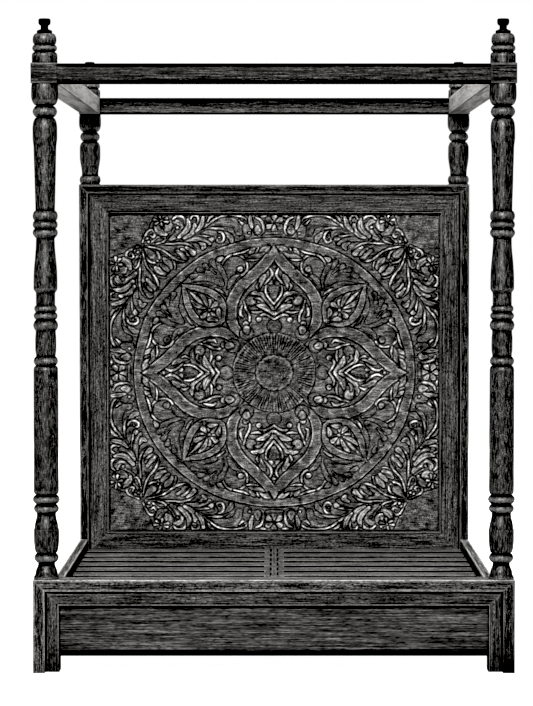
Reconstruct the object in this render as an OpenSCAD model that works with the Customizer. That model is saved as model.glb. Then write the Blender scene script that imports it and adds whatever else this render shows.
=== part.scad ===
// Carved four-poster canopy bed for a queen-size mattress.
// Millimetres. The origin is on the floor under the middle of the bed.
// +X is the bed's right side seen from the foot, -Y is the foot end, +Y the headboard, +Z up.

/* [Bed] */
// Overall width, leg face to leg face
bed_w = 1640; // [1500:10:1900]
// Overall length, front of the footboard to the back of the headboard
bed_l = 2216; // [2150:2:2300]
// Side of the square corner legs
leg_s = 88; // [84:1:96]

/* [Heights] */
// Top of the footboard
foot_h = 318; // [300:1:360]
// Top of the headboard
head_h = 1706; // [1600:1:1780]
// Underside of the canopy frame
canopy_z = 2001; // [1990:1:2060]
// Height of the canopy rails
canopy_h = 69; // [66:1:80]
// Top of the bed's side rails
side_top_z = 211; // [200:1:230]
// Top of the slats, where the mattress lies
deck_z = 174; // [165:1:190]

/* [Footboard] */
// Width of the mitred face band: cap and leg edges
foot_band = 40; // [36:1:44]
// Lower edge of the footboard panel
foot_panel_z = 55; // [40:1:70]
// Gap between the floor and the upright mouldings
foot_mould_gap = 6; // [3:1:12]

/* [Headboard] */
// Width of the mitred face band: cap and leg edges
head_band = 37; // [36:1:44]
// Width of the mitred moulding round the carved panel
head_mould_w = 83; // [70:1:95]
// Lower edge of the carved field
field_z = 240; // [230:1:260]
// Depth of the carving from its highest faces to its ground
relief = 14; // [8:1:18]

/* [Slats] */
// Number of slat rows
slat_rows = 13; // [9:1:13]
// Width of a slat
slat_w = 95; // [70:1:100]
// Thickness of a slat
slat_t = 22; // [18:1:25]
// Distance from one slat row to the next
slat_pitch = 153; // [140:1:155]
// Gap between the headboard and the nearest slat
slat_head_gap = 33; // [20:1:60]

/* [Fits] */
// Radial clearance of the finial pins and glide stems, which move
running = 0.05; // [0.02:0.01:0.10]
// Clearance on each side of a fixed joint
loose = 0.25; // [0.1:0.05:0.5]

/* [Hidden] */
$fn = 64;
half_w = bed_w / 2;
half_l = bed_l / 2;
post_x = half_w - leg_s / 2;
post_y = half_l - leg_s / 2;
inner_x = half_w - leg_s;
inner_y = half_l - leg_s;
canopy_top = canopy_z + canopy_h;

// Footboard depths, counted back from its front face
foot_mould_w = leg_s - foot_band;
foot_mould_d = 8;
foot_panel_d = 26;
foot_panel_t = 24;
foot_tongue_d = foot_panel_d + 6;
foot_rail_z = [95, 150];
foot_stub_d = [58, 78];
foot_stub_in = 12;

// Headboard depths, counted back from the face that looks at the foot end
head_mould_d = 9;
head_rim_d = 28;
field_d = 26;
panel_back_d = 64;
head_tongue_d = head_rim_d + 12;
head_rail_z = [110, 228];
head_rail_back_d = 76;
head_stub_d = [42, 66];
head_stub_in = 20;
field_x = half_w - head_band - head_mould_w;
field_top = head_h - head_band - head_mould_w;
field_mid = (field_z + field_top) / 2;
field_r = (field_x * 2 + field_top - field_z) / 4;
batten_h = 90;
batten_levels = [560, 1270];
batten_screws = 6;
batten_screw_x = 600;
batten_screw_l = 38;

// Joinery
tongue = 12;
tongue_t = 12;
post_tenon_r = 16;
post_tenon_down = 70;
post_tenon_up = 20;
pin_r = 10;
pin_l = 40;
pin_bore_l = 45;
stub_l = 20;
tongue_ease = 4;
canopy_stub_half = 20;
canopy_stub_z = [20, 50];
canopy_rail_inset = 1.5;
finial_h = 151;
// How far a cutter reaches past the face it cuts
over = 1;

// Side rails, cleats and the slat deck
side_t = 35;
side_bottom_z = foot_panel_z;
cleat_s = 30;
cleat_l = 2020;
cleat_screws = 7;
cleat_screw_y = 900;
cleat_screw_l = 48;
slat_under_z = deck_z - slat_t;
slat_y0 = inner_y - slat_head_gap - slat_w / 2;
slat_x = [17, half_w - side_t - 2];
beam_w = 78;
beam_z = 84;
beam_y = [-inner_y + 4, inner_y + 6];
spine_half = 9.5;
leg_block = 60;
leg_block_z = 26;
leg_block_y = 700;
dowel_r = 10;
dowel_l = 24;
glide_r = 19;
glide_h = 10;
stem_r = 4;
stem_top = 56;
stem_bore_top = 76;

// Steel fittings
plate_t = 3;
plate_w = 20;
plate_z = [75, 191];
hook_t = 3;
hook_out = 13;
hook_z = [95, 150];
hook_slot_half = 3;
hook_pocket_l = 18;
hook_pocket_z = [-14, 16];
hanger_reach = 55;
hanger_flange = 24;
hanger_top_z = 148;
hanger_cheek_drop = 8;
screw_r = 2.3;
screw_head_r = 4.6;
screw_head_t = 3;

ebony = "#2b2927";
charcoal = "#35322f";
smoke = "#3d3a37";
ash = "#6f6b66";
steel = "#8a8d90";

// ---------- helpers ----------

// A box given by its low and high limits along each axis
module span(x, y, z) {
    translate([x[0], y[0], z[0]])
        cube([x[1] - x[0], y[1] - y[0], z[1] - z[0]]);
}

// side is -1 for the left or foot copy and 1 for the other one
module across(side) { mirror([side < 0 ? 1 : 0, 0, 0]) children(); }
module lengthwise(side) { mirror([0, side < 0 ? 1 : 0, 0]) children(); }

module rod(r, z) { translate([0, 0, z[0]]) cylinder(r = r, h = z[1] - z[0]); }

// An outline drawn in X and Z, with the given limits in Y
module upright(y) {
    translate([0, y[1], 0])
        rotate([90, 0, 0])
            linear_extrude(height = y[1] - y[0]) children();
}

// ---------- turned profiles: lists of [radius, height] ----------

turn_steps = 8;

// A convex ring between two heights, from groove radius r0 out to r1
function bead(z, r0, r1) =
    [for (i = [0 : turn_steps])
        [r0 + (r1 - r0) * sin(180 * i / turn_steps),
         z[0] + (z[1] - z[0]) * (1 - cos(180 * i / turn_steps)) / 2]];

// A smooth S from radius r[0] at the lower height to r[1] at the upper one
function ogee(z, r) =
    [for (i = [0 : turn_steps])
        [r[0] + (r[1] - r[0]) * (1 - cos(180 * i / turn_steps)) / 2,
         z[0] + (z[1] - z[0]) * i / turn_steps]];

// A quarter-round shoulder that starts upright and closes inwards at the top
function shoulder(z, r) =
    [for (i = [0 : turn_steps])
        [r[1] + (r[0] - r[1]) * cos(90 * i / turn_steps),
         z[0] + (z[1] - z[0]) * sin(90 * i / turn_steps)]];

// A quarter-round that opens outwards from its foot and ends upright
function belly(z, r) =
    [for (i = [0 : turn_steps])
        [r[0] + (r[1] - r[0]) * sin(90 * i / turn_steps),
         z[0] + (z[1] - z[0]) * (1 - cos(90 * i / turn_steps))]];

// Bead and cup under the canopy, shared by every post
function cup_top(z) =
    concat(bead([z - 114, z - 73], 28, 41.5),
           belly([z - 73, z - 44], [30, 47]),
           [[47, z - 26]],
           shoulder([z - 26, z], [47, 43.5]));

function front_post(z, top) =
    concat([[44, z], [44, z + 4]],
           ogee([z + 4, z + 16], [44, 38.6]),
           ogee([z + 20, z + 51], [38, 29]),
           [[29, z + 55]],
           bead([z + 56, z + 89], 31, 42),
           belly([z + 90, z + 152], [35, 43.5]),
           [[43.5, z + 170], [41.3, z + 171]],
           ogee([z + 171, z + 223], [41.3, 33]),
           bead([z + 226, z + 255], 34, 43.4),
           bead([z + 256, z + 288], 35, 46.3),
           belly([z + 290, z + 304], [38, 43]),
           [[41.5, z + 712]],
           shoulder([z + 712, z + 727], [41.5, 34]),
           bead([z + 729, z + 758], 34, 41.3),
           ogee([z + 759, z + 786], [33, 35.6]),
           ogee([z + 818, z + 845], [35.6, 34]),
           bead([z + 847, z + 883], 34, 42.4),
           bead([z + 884, z + 910], 33, 40.7),
           bead([z + 911, z + 932], 34, 38.5),
           [[32.3, z + 933], [32.3, z + 973]],
           ogee([z + 973, z + 990], [32.3, 40.2]),
           [[40, z + 1022]],
           ogee([z + 1022, z + 1160], [40, 31.5]),
           bead([z + 1166, z + 1193], 36, 42.6),
           bead([z + 1194, z + 1220], 36.5, 42.4),
           bead([z + 1221, z + 1252], 37, 42.3),
           [[33, z + 1254], [33, z + 1265]],
           [[38.4, z + 1467]],
           ogee([z + 1467, z + 1502], [38.4, 41.5]),
           [[41.5, z + 1531]],
           shoulder([z + 1531, z + 1569], [41.5, 28]),
           cup_top(top));

function back_post(z, top) =
    concat([[44, z], [40, z + 5]],
           bead([z + 6, z + 36], 39, 44),
           [[34.5, z + 38], [34.5, z + 44]],
           ogee([z + 44, z + 122], [34.5, 43.2]),
           [[43.2, z + 152]],
           shoulder([z + 152, z + 181], [43.2, 28]),
           cup_top(top));

// The profile is closed onto the axis and spun
module turned(points, z) {
    rotate_extrude()
        polygon(concat([[0, z[0]]], points, [[0, z[1]]]));
}

// ---------- footboard ----------

// What a leg loses at its head: the cap's mitre and the mortise for the post's tenon
module leg_head_cut(band, top, y_front, end) {
    upright([y_front - over, y_front + leg_s + over])
        polygon([[half_w + over, top + over], [half_w, top], [half_w - band, top - band],
                 [inner_x - over, top - band], [inner_x - over, top + over]]);
    translate([post_x, end * post_y, 0])
        rod(post_tenon_r + loose, [top - post_tenon_down - over, top + over]);
}

// Slots for the steel plate and its two hooks, in a leg face at y
module plate_pockets(y, into) {
    x_mid = half_w - side_t / 2;
    span([x_mid - plate_w / 2 - loose, x_mid + plate_w / 2 + loose],
         into > 0 ? [y, y + plate_t] : [y - plate_t, y],
         [plate_z[0] - loose, plate_z[1] + loose]);
    for (z = hook_z)
        span([x_mid - hook_slot_half, x_mid + hook_slot_half],
             into > 0 ? [y, y + hook_pocket_l] : [y - hook_pocket_l, y],
             hook_pocket_z + [z, z]);
}

module foot_leg(side) {
    front = -half_l;
    across(side)
        difference() {
            span([inner_x, half_w], [front, -inner_y], [0, foot_h]);
            leg_head_cut(foot_band, foot_h, front, -1);
            span([inner_x - over, half_w - foot_band], [front - over, front + foot_panel_d], [-over, foot_h]);
            span([inner_x - over, inner_x + tongue + loose],
                 [front + foot_tongue_d - loose, front + foot_tongue_d + tongue_t + loose],
                 [foot_panel_z, foot_h - foot_band + over]);
            span([inner_x - over, inner_x + stub_l + loose],
                 [front + foot_stub_d[0] - loose, front + foot_stub_d[1] + loose],
                 foot_rail_z + [foot_stub_in - loose, loose - foot_stub_in]);
            plate_pockets(-inner_y, -1);
        }
}
module foot_leg_left() { color(ebony) foot_leg(-1); }
module foot_leg_right() { color(ebony) foot_leg(1); }

// A mitred cap with a groove under it for the panel and a hole over each leg
module cap_rail(band, top, y_front, groove_y, end) {
    difference() {
        upright([y_front, y_front + leg_s])
            polygon([[-half_w, top], [half_w, top],
                     [half_w - band, top - band], [band - half_w, top - band]]);
        span([-inner_x, inner_x], groove_y, [top - band - over, top - band + tongue + loose]);
        for (side = [-1, 1])
            translate([side * post_x, end * post_y, 0])
                rod(post_tenon_r + loose, [top - band - over, top + over]);
    }
}

module foot_cap_rail() {
    y_tongue = -half_l + foot_tongue_d;
    color(charcoal)
        cap_rail(foot_band, foot_h, -half_l, [y_tongue - loose, y_tongue + tongue_t + loose], -1);
}

module foot_panel() {
    front = -half_l + foot_panel_d;
    y_tongue = -half_l + foot_tongue_d;
    color(smoke)
        union() {
            span([-inner_x, inner_x], [front, front + foot_panel_t], [foot_panel_z, foot_h - foot_band]);
            span([-inner_x - tongue, inner_x + tongue], [y_tongue, y_tongue + tongue_t],
                 [foot_panel_z + tongue_ease, foot_h - foot_band]);
            span([tongue_ease - inner_x, inner_x - tongue_ease], [y_tongue, y_tongue + tongue_t],
                 [foot_h - foot_band - over, foot_h - foot_band + tongue]);
        }
}

module foot_inner_rail() {
    front = -half_l + foot_panel_d + foot_panel_t;
    color(smoke)
        union() {
            span([-inner_x, inner_x], [front, -inner_y], foot_rail_z);
            span([-inner_x - stub_l, inner_x + stub_l], foot_stub_d - [half_l, half_l],
                 foot_rail_z + [foot_stub_in, -foot_stub_in]);
        }
}

// Cross-section of a moulding: x runs from the outer edge in, y is the depth from the face.
// A shallow cushion rises to a raised lip beside the panel.
function moulding_section(w, face, back) =
    concat([[0, back], [0, face]],
           [for (i = [1 : 8]) [w * 0.86 * i / 8, face + 3 - 6 * sin(20 + 70 * i / 8)]],
           [[w - 5.5, face - 1.5], [w - 4, face - 4.5], [w - 1, face - 4.5], [w, face - 3], [w, back]]);

// The section laid along X, outer edge at z = 0 and the lip at z = -w
module moulding_bar(w, face, back, y_front, length) {
    translate([-length / 2, y_front, 0])
        rotate([0, 90, 0])
            linear_extrude(height = length) polygon(moulding_section(w, face, back));
}

// Keeps what lies inside the mitres of a horizontal bar whose outer edge is at z = 0
module mitre_both(w, half_length, y) {
    upright(y)
        polygon([[-half_length, 0], [half_length, 0], [half_length - w, -w], [w - half_length, -w]]);
}

module foot_moulding_top() {
    color(charcoal)
        translate([0, 0, foot_h - foot_band])
            intersection() {
                moulding_bar(foot_mould_w, foot_mould_d, foot_panel_d, -half_l, bed_w);
                mitre_both(foot_mould_w, half_w - foot_band, [-half_l - over, -inner_y]);
            }
}

module foot_moulding_side(side) {
    top = foot_h - foot_band;
    chamfer = 5;
    across(side)
        intersection() {
            translate([half_w - foot_band, 0, 0])
                rotate([0, 90, 0])
                    moulding_bar(foot_mould_w, foot_mould_d, foot_panel_d, -half_l, 2 * top + 10);
            upright([-half_l - over, -inner_y])
                polygon([[half_w - foot_band, foot_mould_gap], [half_w - foot_band, top],
                         [inner_x, top - foot_mould_w], [inner_x, foot_mould_gap + chamfer],
                         [inner_x + chamfer, foot_mould_gap]]);
        }
}
module foot_moulding_left() { color(charcoal) foot_moulding_side(-1); }
module foot_moulding_right() { color(charcoal) foot_moulding_side(1); }

// ---------- headboard ----------

module head_leg(side) {
    front = inner_y;
    y_tongue = front + head_tongue_d;
    across(side)
        difference() {
            span([inner_x, half_w], [front, half_l], [0, head_h]);
            leg_head_cut(head_band, head_h, front, 1);
            span([inner_x - over, half_w - head_band], [front - over, front + head_rim_d],
                 [head_rail_z[0], head_h]);
            span([inner_x - over, inner_x + tongue + loose], [y_tongue - loose, y_tongue + tongue_t + loose],
                 [head_rail_z[1] - over, head_h - head_band + over]);
            span([inner_x - over, inner_x + stub_l + loose],
                 [front + head_stub_d[0] - loose, front + head_stub_d[1] + loose],
                 head_rail_z + [head_stub_in - loose, loose - head_stub_in]);
            plate_pockets(front, 1);
        }
}
module head_leg_left() { color(ebony) head_leg(-1); }
module head_leg_right() { color(ebony) head_leg(1); }

module head_cap_rail() {
    y_tongue = inner_y + head_tongue_d;
    color(charcoal)
        cap_rail(head_band, head_h, inner_y, [y_tongue - loose, y_tongue + tongue_t + loose], 1);
}

module head_bottom_rail() {
    color(smoke)
        union() {
            span([-inner_x, inner_x], [inner_y + head_rim_d, inner_y + head_rail_back_d], head_rail_z);
            span([-inner_x - stub_l, inner_x + stub_l], head_stub_d + [inner_y, inner_y],
                 head_rail_z + [head_stub_in, -head_stub_in]);
        }
}

module head_moulding_level(top) {
    translate([0, 0, top])
        intersection() {
            moulding_bar(head_mould_w, head_mould_d, head_rim_d, inner_y, bed_w);
            mitre_both(head_mould_w, half_w - head_band, [inner_y - over, half_l]);
        }
}
module head_moulding_top() { color(charcoal) head_moulding_level(head_h - head_band); }
module head_moulding_bottom() {
    low = field_z - head_mould_w;
    color(charcoal)
        translate([0, 0, low])
            mirror([0, 0, 1]) head_moulding_level(0);
}
module head_moulding_side(side) {
    top = head_h - head_band;
    low = field_z - head_mould_w;
    across(side)
        intersection() {
            translate([half_w - head_band, 0, 0])
                rotate([0, 90, 0])
                    moulding_bar(head_mould_w, head_mould_d, head_rim_d, inner_y, 2 * top + 10);
            upright([inner_y - over, half_l])
                polygon([[half_w - head_band, low], [half_w - head_band, top],
                         [field_x, top - head_mould_w], [field_x, low + head_mould_w]]);
        }
}
module head_moulding_left() { color(charcoal) head_moulding_side(-1); }
module head_moulding_right() { color(charcoal) head_moulding_side(1); }

// ---------- carved field: flat bands and bosses, all at one level; sizes are shares of field_r ----------

band_r = [0.790, 0.845];
petal_mid = 0.39;
petal_r = 0.2925;
petal_tip = 0.795;
petal_band = 0.055;
rosette_r = 0.248;
almond = [0.264, 0.559];
almond_half = 0.115;
rosette_flutes = 24;
almond_daisy_r = 0.559;
edge_daisy_r = 0.925;
petal_daisy_r = 0.50;
volute_at = [0.237, 0.671];

module field_ring(r_out, r_in) {
    difference() {
        circle(r = r_out * field_r);
        circle(r = r_in * field_r);
    }
}

// A round petal with a pointed tip, shrunk by inset all round
module petal(inset) {
    union() {
        translate([0, petal_mid * field_r]) circle(r = (petal_r - inset) * field_r);
        polygon(field_r * [[-0.145 + inset, 0.640], [0.145 - inset, 0.640],
                           [0.060 - inset / 2, 0.715 - inset], [0, petal_tip - 1.4 * inset],
                           [inset / 2 - 0.060, 0.715 - inset]]);
    }
}

// An almond between two points on a diagonal, as two crossing discs
module almond_shape(inset) {
    half_length = (almond[1] - almond[0]) * sqrt(2) / 2;
    disc_r = (half_length * half_length + almond_half * almond_half) / (2 * almond_half);
    mid = (almond[0] + almond[1]) / sqrt(2);
    rotate(-45)
        translate([0, mid * field_r])
            intersection() {
                translate([(disc_r - almond_half) * field_r, 0]) circle(r = (disc_r - inset) * field_r);
                translate([(almond_half - disc_r) * field_r, 0]) circle(r = (disc_r - inset) * field_r);
            }
}

module daisy(r, petals) {
    for (i = [0 : petals - 1])
        rotate(360 * i / petals)
            translate([0, r * 0.62]) circle(r = r * 0.36);
    circle(r = r * 0.3);
}

module field_bands() {
    field_ring(band_r[1], band_r[0]);
    for (i = [0 : 3])
        rotate(90 * i) {
            difference() {
                petal(0);
                petal(petal_band);
                circle(r = rosette_r * field_r);
            }
            difference() {
                almond_shape(0);
                almond_shape(0.035);
            }
            rotate(-45) translate([0, almond_daisy_r * field_r]) daisy(0.06 * field_r, 8);
            translate([0, edge_daisy_r * field_r]) daisy(0.06 * field_r, 6);
            translate([0, petal_daisy_r * field_r]) daisy(0.085 * field_r, 5);
            for (m = [-1, 1]) {
                translate(field_r * [volute_at[0] * m, volute_at[1]]) field_ring(0.073, 0.045);
                translate(field_r * [volute_at[1] * m, volute_at[0]]) field_ring(0.073, 0.045);
            }
        }
}

module rosette() {
    circle(r = rosette_r * 0.46 * field_r);
    for (i = [0 : rosette_flutes - 1])
        rotate(360 * i / rosette_flutes)
            polygon(field_r * [[-0.006, 0.115], [0.006, 0.115], [0.019, 0.232], [0, 0.246], [-0.019, 0.232]]);
}

// Everything raised from the ground, kept clear of the rim
module field_shapes() {
    margin = 12;
    intersection() {
        square([2 * field_x - margin, field_top - field_z - margin], center = true);
        union() {
            field_bands();
            rosette();
        }
    }
}

module carved_panel() {
    y_rim = inner_y + head_rim_d;
    y_high = inner_y + field_d;
    y_ground = y_high + relief;
    y_back = inner_y + panel_back_d;
    y_tongue = inner_y + head_tongue_d;
    top = head_h - head_band;
    color(smoke)
        difference() {
            union() {
                // The board, cut back inside its rim to the ground of the carving
                difference() {
                    span([-inner_x, inner_x], [y_rim, y_back], [head_rail_z[1], top]);
                    span([-field_x, field_x], [y_rim - over, y_ground], [field_z, field_top]);
                }
                span([-inner_x - tongue, inner_x + tongue], [y_tongue, y_tongue + tongue_t],
                     [head_rail_z[1], top]);
                span([tongue_ease - inner_x, inner_x - tongue_ease], [y_tongue, y_tongue + tongue_t],
                     [top - over, top + tongue]);
                upright([y_high, y_ground + over])
                    translate([0, field_mid]) field_shapes();
            }
            each_batten_screw() rod(screw_r + loose, [-over, batten_screw_l + 2]);
        }
}

// Screw axes point from the back of the bed towards the foot end
module each_batten_screw() {
    for (z = batten_levels)
        for (i = [0 : batten_screws - 1])
            translate([batten_screw_x * (2 * i / (batten_screws - 1) - 1), half_l, z])
                rotate([90, 0, 0]) children();
}

module head_battens() {
    color(smoke)
        difference() {
            for (z = batten_levels)
                span([-inner_x, inner_x], [inner_y + panel_back_d, half_l],
                     [z - batten_h / 2, z + batten_h / 2]);
            each_batten_screw() {
                rod(screw_r + loose, [-over, batten_screw_l + 2]);
                rod(screw_head_r + loose, [-over, screw_head_t + loose]);
            }
        }
}

// ---------- posts, canopy and finials ----------

// A post with its round tenons, standing on top of a leg's cap at the given end of the bed
module post(side, end, profile, top) {
    translate([side * post_x, end * post_y, 0])
        union() {
            turned(profile, [top, canopy_z]);
            rod(post_tenon_r, [top - post_tenon_down, top + over]);
            rod(post_tenon_r, [canopy_z - over, canopy_z + post_tenon_up]);
        }
}
module post_front(side) { color(ebony) post(side, -1, front_post(foot_h, canopy_z), foot_h); }
module post_front_left() { post_front(-1); }
module post_front_right() { post_front(1); }
module post_back(side) { color(ebony) post(side, 1, back_post(head_h, canopy_z), head_h); }
module post_back_left() { post_back(-1); }
module post_back_right() { post_back(1); }

// Section of a canopy rail: x across it, positive outwards; y up. Its outer edges are well rounded.
module rail_section(inset) {
    half = leg_s / 2 - inset;
    high = canopy_h / 2 - inset;
    round_r = 17;
    ease = 3;
    polygon(concat(
        [[ease - half, -high]],
        [for (a = [-90 : 15 : 0]) [half - round_r + round_r * cos(a), round_r - high + round_r * sin(a)]],
        [for (a = [0 : 15 : 90]) [half - round_r + round_r * cos(a), high - round_r + round_r * sin(a)]],
        [[ease - half, high], [-half, high - ease], [-half, ease - high]]));
}

// Rail across the bed, with square blocks at its ends that take posts, finials and side rails
module canopy_cross_rail(end) {
    lengthwise(end)
        difference() {
            union() {
                translate([-inner_x, post_y, canopy_z + canopy_h / 2])
                    rotate([90, 0, 90])
                        linear_extrude(height = 2 * inner_x) rail_section(canopy_rail_inset);
                for (side = [-1, 1])
                    across(side)
                        span([inner_x - over, half_w], [inner_y, half_l], [canopy_z, canopy_top]);
            }
            for (side = [-1, 1]) {
                translate([side * post_x, post_y, 0]) {
                    rod(post_tenon_r + loose, [canopy_z - over, canopy_z + post_tenon_up + loose]);
                    rod(pin_r + running, [canopy_top - pin_bore_l, canopy_top + over]);
                }
                across(side)
                    span([post_x - canopy_stub_half - loose, post_x + canopy_stub_half + loose],
                         [inner_y - over, inner_y + stub_l + loose],
                         canopy_stub_z + [canopy_z - loose, canopy_z + loose]);
            }
        }
}
module canopy_front_rail() { color(charcoal) canopy_cross_rail(-1); }
module canopy_back_rail() { color(charcoal) canopy_cross_rail(1); }

module canopy_side_rail(side) {
    across(side)
        union() {
            translate([post_x, inner_y, canopy_z + canopy_h / 2])
                rotate([90, 0, 0])
                    linear_extrude(height = 2 * inner_y) rail_section(0);
            span([post_x - canopy_stub_half, post_x + canopy_stub_half],
                 [-inner_y - stub_l, inner_y + stub_l],
                 canopy_stub_z + [canopy_z, canopy_z]);
        }
}
module canopy_side_rail_left() { color(ash) canopy_side_rail(-1); }
module canopy_side_rail_right() { color(ash) canopy_side_rail(1); }

finial_profile =
    concat([[43, 0], [43, 26]],
           shoulder([26, 37], [43, 35]),
           [[35, 40]],
           bead([40, 63], 35, 42),
           belly([63, 78], [35, 40]),
           [[40, 86]],
           shoulder([86, 101], [40, 28]),
           [[26, 102], [26, 109]],
           ogee([109, 117], [26, 12.6]),
           [[12.6, 128]],
           belly([128, 140], [13, 20.7]),
           [[20.7, 144]],
           shoulder([144, finial_h], [20.7, 16]));

module finial(side, end) {
    translate([side * post_x, end * post_y, canopy_top])
        union() {
            turned(finial_profile, [0, finial_h]);
            rod(pin_r, [-pin_l, over]);
        }
}
module finial_front_left() { color(ebony) finial(-1, -1); }
module finial_front_right() { color(ebony) finial(1, -1); }
module finial_back_left() { color(ebony) finial(-1, 1); }
module finial_back_right() { color(ebony) finial(1, 1); }

// ---------- side rails and slat deck ----------

module each_cleat_screw() {
    for (i = [0 : cleat_screws - 1])
        translate([half_w - side_t - cleat_s, cleat_screw_y * (2 * i / (cleat_screws - 1) - 1),
                   slat_under_z - cleat_s / 2])
            rotate([0, 90, 0]) children();
}

module side_rail(side) {
    x_mid = half_w - side_t / 2;
    color(smoke)
        across(side)
            difference() {
                span([half_w - side_t, half_w], [-inner_y, inner_y], [side_bottom_z, side_top_z]);
                for (end = [-1, 1])
                    lengthwise(end)
                        span([x_mid - plate_w / 2 - loose, x_mid + plate_w / 2 + loose],
                             [inner_y - plate_t, inner_y + over], [plate_z[0] - loose, plate_z[1] + loose]);
                each_cleat_screw() rod(screw_r + loose, [0, cleat_screw_l + 2]);
            }
}
module side_rail_left() { side_rail(-1); }
module side_rail_right() { side_rail(1); }

module slat_cleat(side) {
    color(ash)
        across(side)
            difference() {
                span([half_w - side_t - cleat_s, half_w - side_t], [-cleat_l / 2, cleat_l / 2],
                     [slat_under_z - cleat_s, slat_under_z]);
                each_cleat_screw() {
                    rod(screw_r + loose, [-over, cleat_s + over]);
                    rod(screw_head_r + loose, [-over, screw_head_t + loose]);
                }
            }
}
module slat_cleat_left() { slat_cleat(-1); }
module slat_cleat_right() { slat_cleat(1); }

function slat_y(i) = slat_y0 - slat_pitch * i;

module centre_beam() {
    pocket_end = 1.5;
    color(ash)
        difference() {
            span([-beam_w / 2, beam_w / 2], beam_y, [beam_z, deck_z]);
            for (i = [0 : slat_rows - 1])
                for (side = [-1, 1])
                    across(side)
                        span([spine_half, beam_w / 2 + over],
                             [slat_y(i) - slat_w / 2 - pocket_end, slat_y(i) + slat_w / 2 + pocket_end],
                             [slat_under_z, deck_z + over]);
            for (y = [-leg_block_y, 0, leg_block_y])
                translate([0, y, 0]) rod(dowel_r + loose, [beam_z - over, beam_z + dowel_l + loose]);
        }
}

module beam_leg(y) {
    color(ash)
        translate([0, y, 0])
            difference() {
                union() {
                    span([-leg_block / 2, leg_block / 2], [-leg_block / 2, leg_block / 2],
                         [leg_block_z, beam_z]);
                    rod(dowel_r, [beam_z - over, beam_z + dowel_l]);
                }
                rod(stem_r + running, [leg_block_z - over, stem_bore_top]);
            }
}
module beam_leg_foot() { beam_leg(-leg_block_y); }
module beam_leg_middle() { beam_leg(0); }
module beam_leg_head() { beam_leg(leg_block_y); }

// Screw-in levelling foot: a rounded pad on a stem
module glide(y) {
    color(steel)
        translate([0, y, 0])
            union() {
                turned([[glide_r - 2, 0], [glide_r, 2], [glide_r, glide_h - 3], [glide_r - 4, glide_h]],
                       [0, glide_h]);
                rod(stem_r, [glide_h - over, stem_top]);
            }
}
module glide_foot() { glide(-leg_block_y); }
module glide_middle() { glide(0); }
module glide_head() { glide(leg_block_y); }

module slat_row(i) {
    color(ash)
        for (side = [-1, 1])
            across(side)
                span(slat_x, [slat_y(i) - slat_w / 2, slat_y(i) + slat_w / 2], [slat_under_z, deck_z]);
}

// ---------- steel fittings ----------

// A folded saddle: back plate, floor and two cheeks. y is the plate's mounting face.
module beam_hanger(y, towards) {
    x_in = beam_w / 2 + loose;
    z_floor = beam_z - loose;
    depth = [min(y, y + towards * hanger_reach), max(y, y + towards * hanger_reach)];
    plate = [min(y, y + towards * plate_t), max(y, y + towards * plate_t)];
    union() {
        span([-x_in - hanger_flange, x_in + hanger_flange], plate, [z_floor - plate_t, hanger_top_z]);
        span([-x_in - plate_t, x_in + plate_t], depth, [z_floor - plate_t, z_floor]);
        for (side = [-1, 1])
            across(side)
                span([x_in, x_in + plate_t], depth, [z_floor - plate_t, hanger_top_z - hanger_cheek_drop]);
    }
}
module beam_hangers() {
    color(steel) {
        beam_hanger(-inner_y, 1);
        beam_hanger(inner_y + head_rim_d, -1);
    }
}

// Plate let into the rail's end, with two hooks that drop behind the leg's plate
module hook_plate() {
    x_mid = half_w - side_t / 2;
    nose = 10;
    union() {
        span([x_mid - plate_w / 2, x_mid + plate_w / 2], [inner_y - plate_t, inner_y], plate_z);
        for (z = hook_z)
            translate([x_mid - hook_t / 2, 0, z])
                rotate([90, 0, 90])
                    linear_extrude(height = hook_t)
                        polygon([[inner_y - over, -4], [inner_y + plate_t + 1, -4],
                                 [inner_y + plate_t + 1, -4 - nose], [inner_y + hook_out - 3, -4 - nose],
                                 [inner_y + hook_out, -nose], [inner_y + hook_out, 6],
                                 [inner_y + hook_out - 6, 12], [inner_y - over, 12]]);
    }
}
module rail_hook_plates() {
    color(steel)
        for (side = [-1, 1])
            for (end = [-1, 1])
                across(side) lengthwise(end) hook_plate();
}

module slot_plate() {
    x_mid = half_w - side_t / 2;
    slot_half = 2;
    difference() {
        span([x_mid - plate_w / 2, x_mid + plate_w / 2], [inner_y, inner_y + plate_t], plate_z);
        for (z = hook_z)
            span([x_mid - slot_half, x_mid + slot_half], [inner_y - over, inner_y + plate_t + over],
                 [z - 5, z + 15]);
    }
}
module leg_slot_plates() {
    color(steel)
        for (side = [-1, 1])
            for (end = [-1, 1])
                across(side) lengthwise(end) slot_plate();
}

module wood_screw(length) {
    union() {
        rod(screw_head_r, [0, screw_head_t]);
        rod(screw_r, [screw_head_t - over, length]);
    }
}
module wood_screws() {
    color(steel) {
        each_batten_screw() wood_screw(batten_screw_l);
        for (side = [-1, 1])
            across(side) each_cleat_screw() wood_screw(cleat_screw_l);
    }
}

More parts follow.
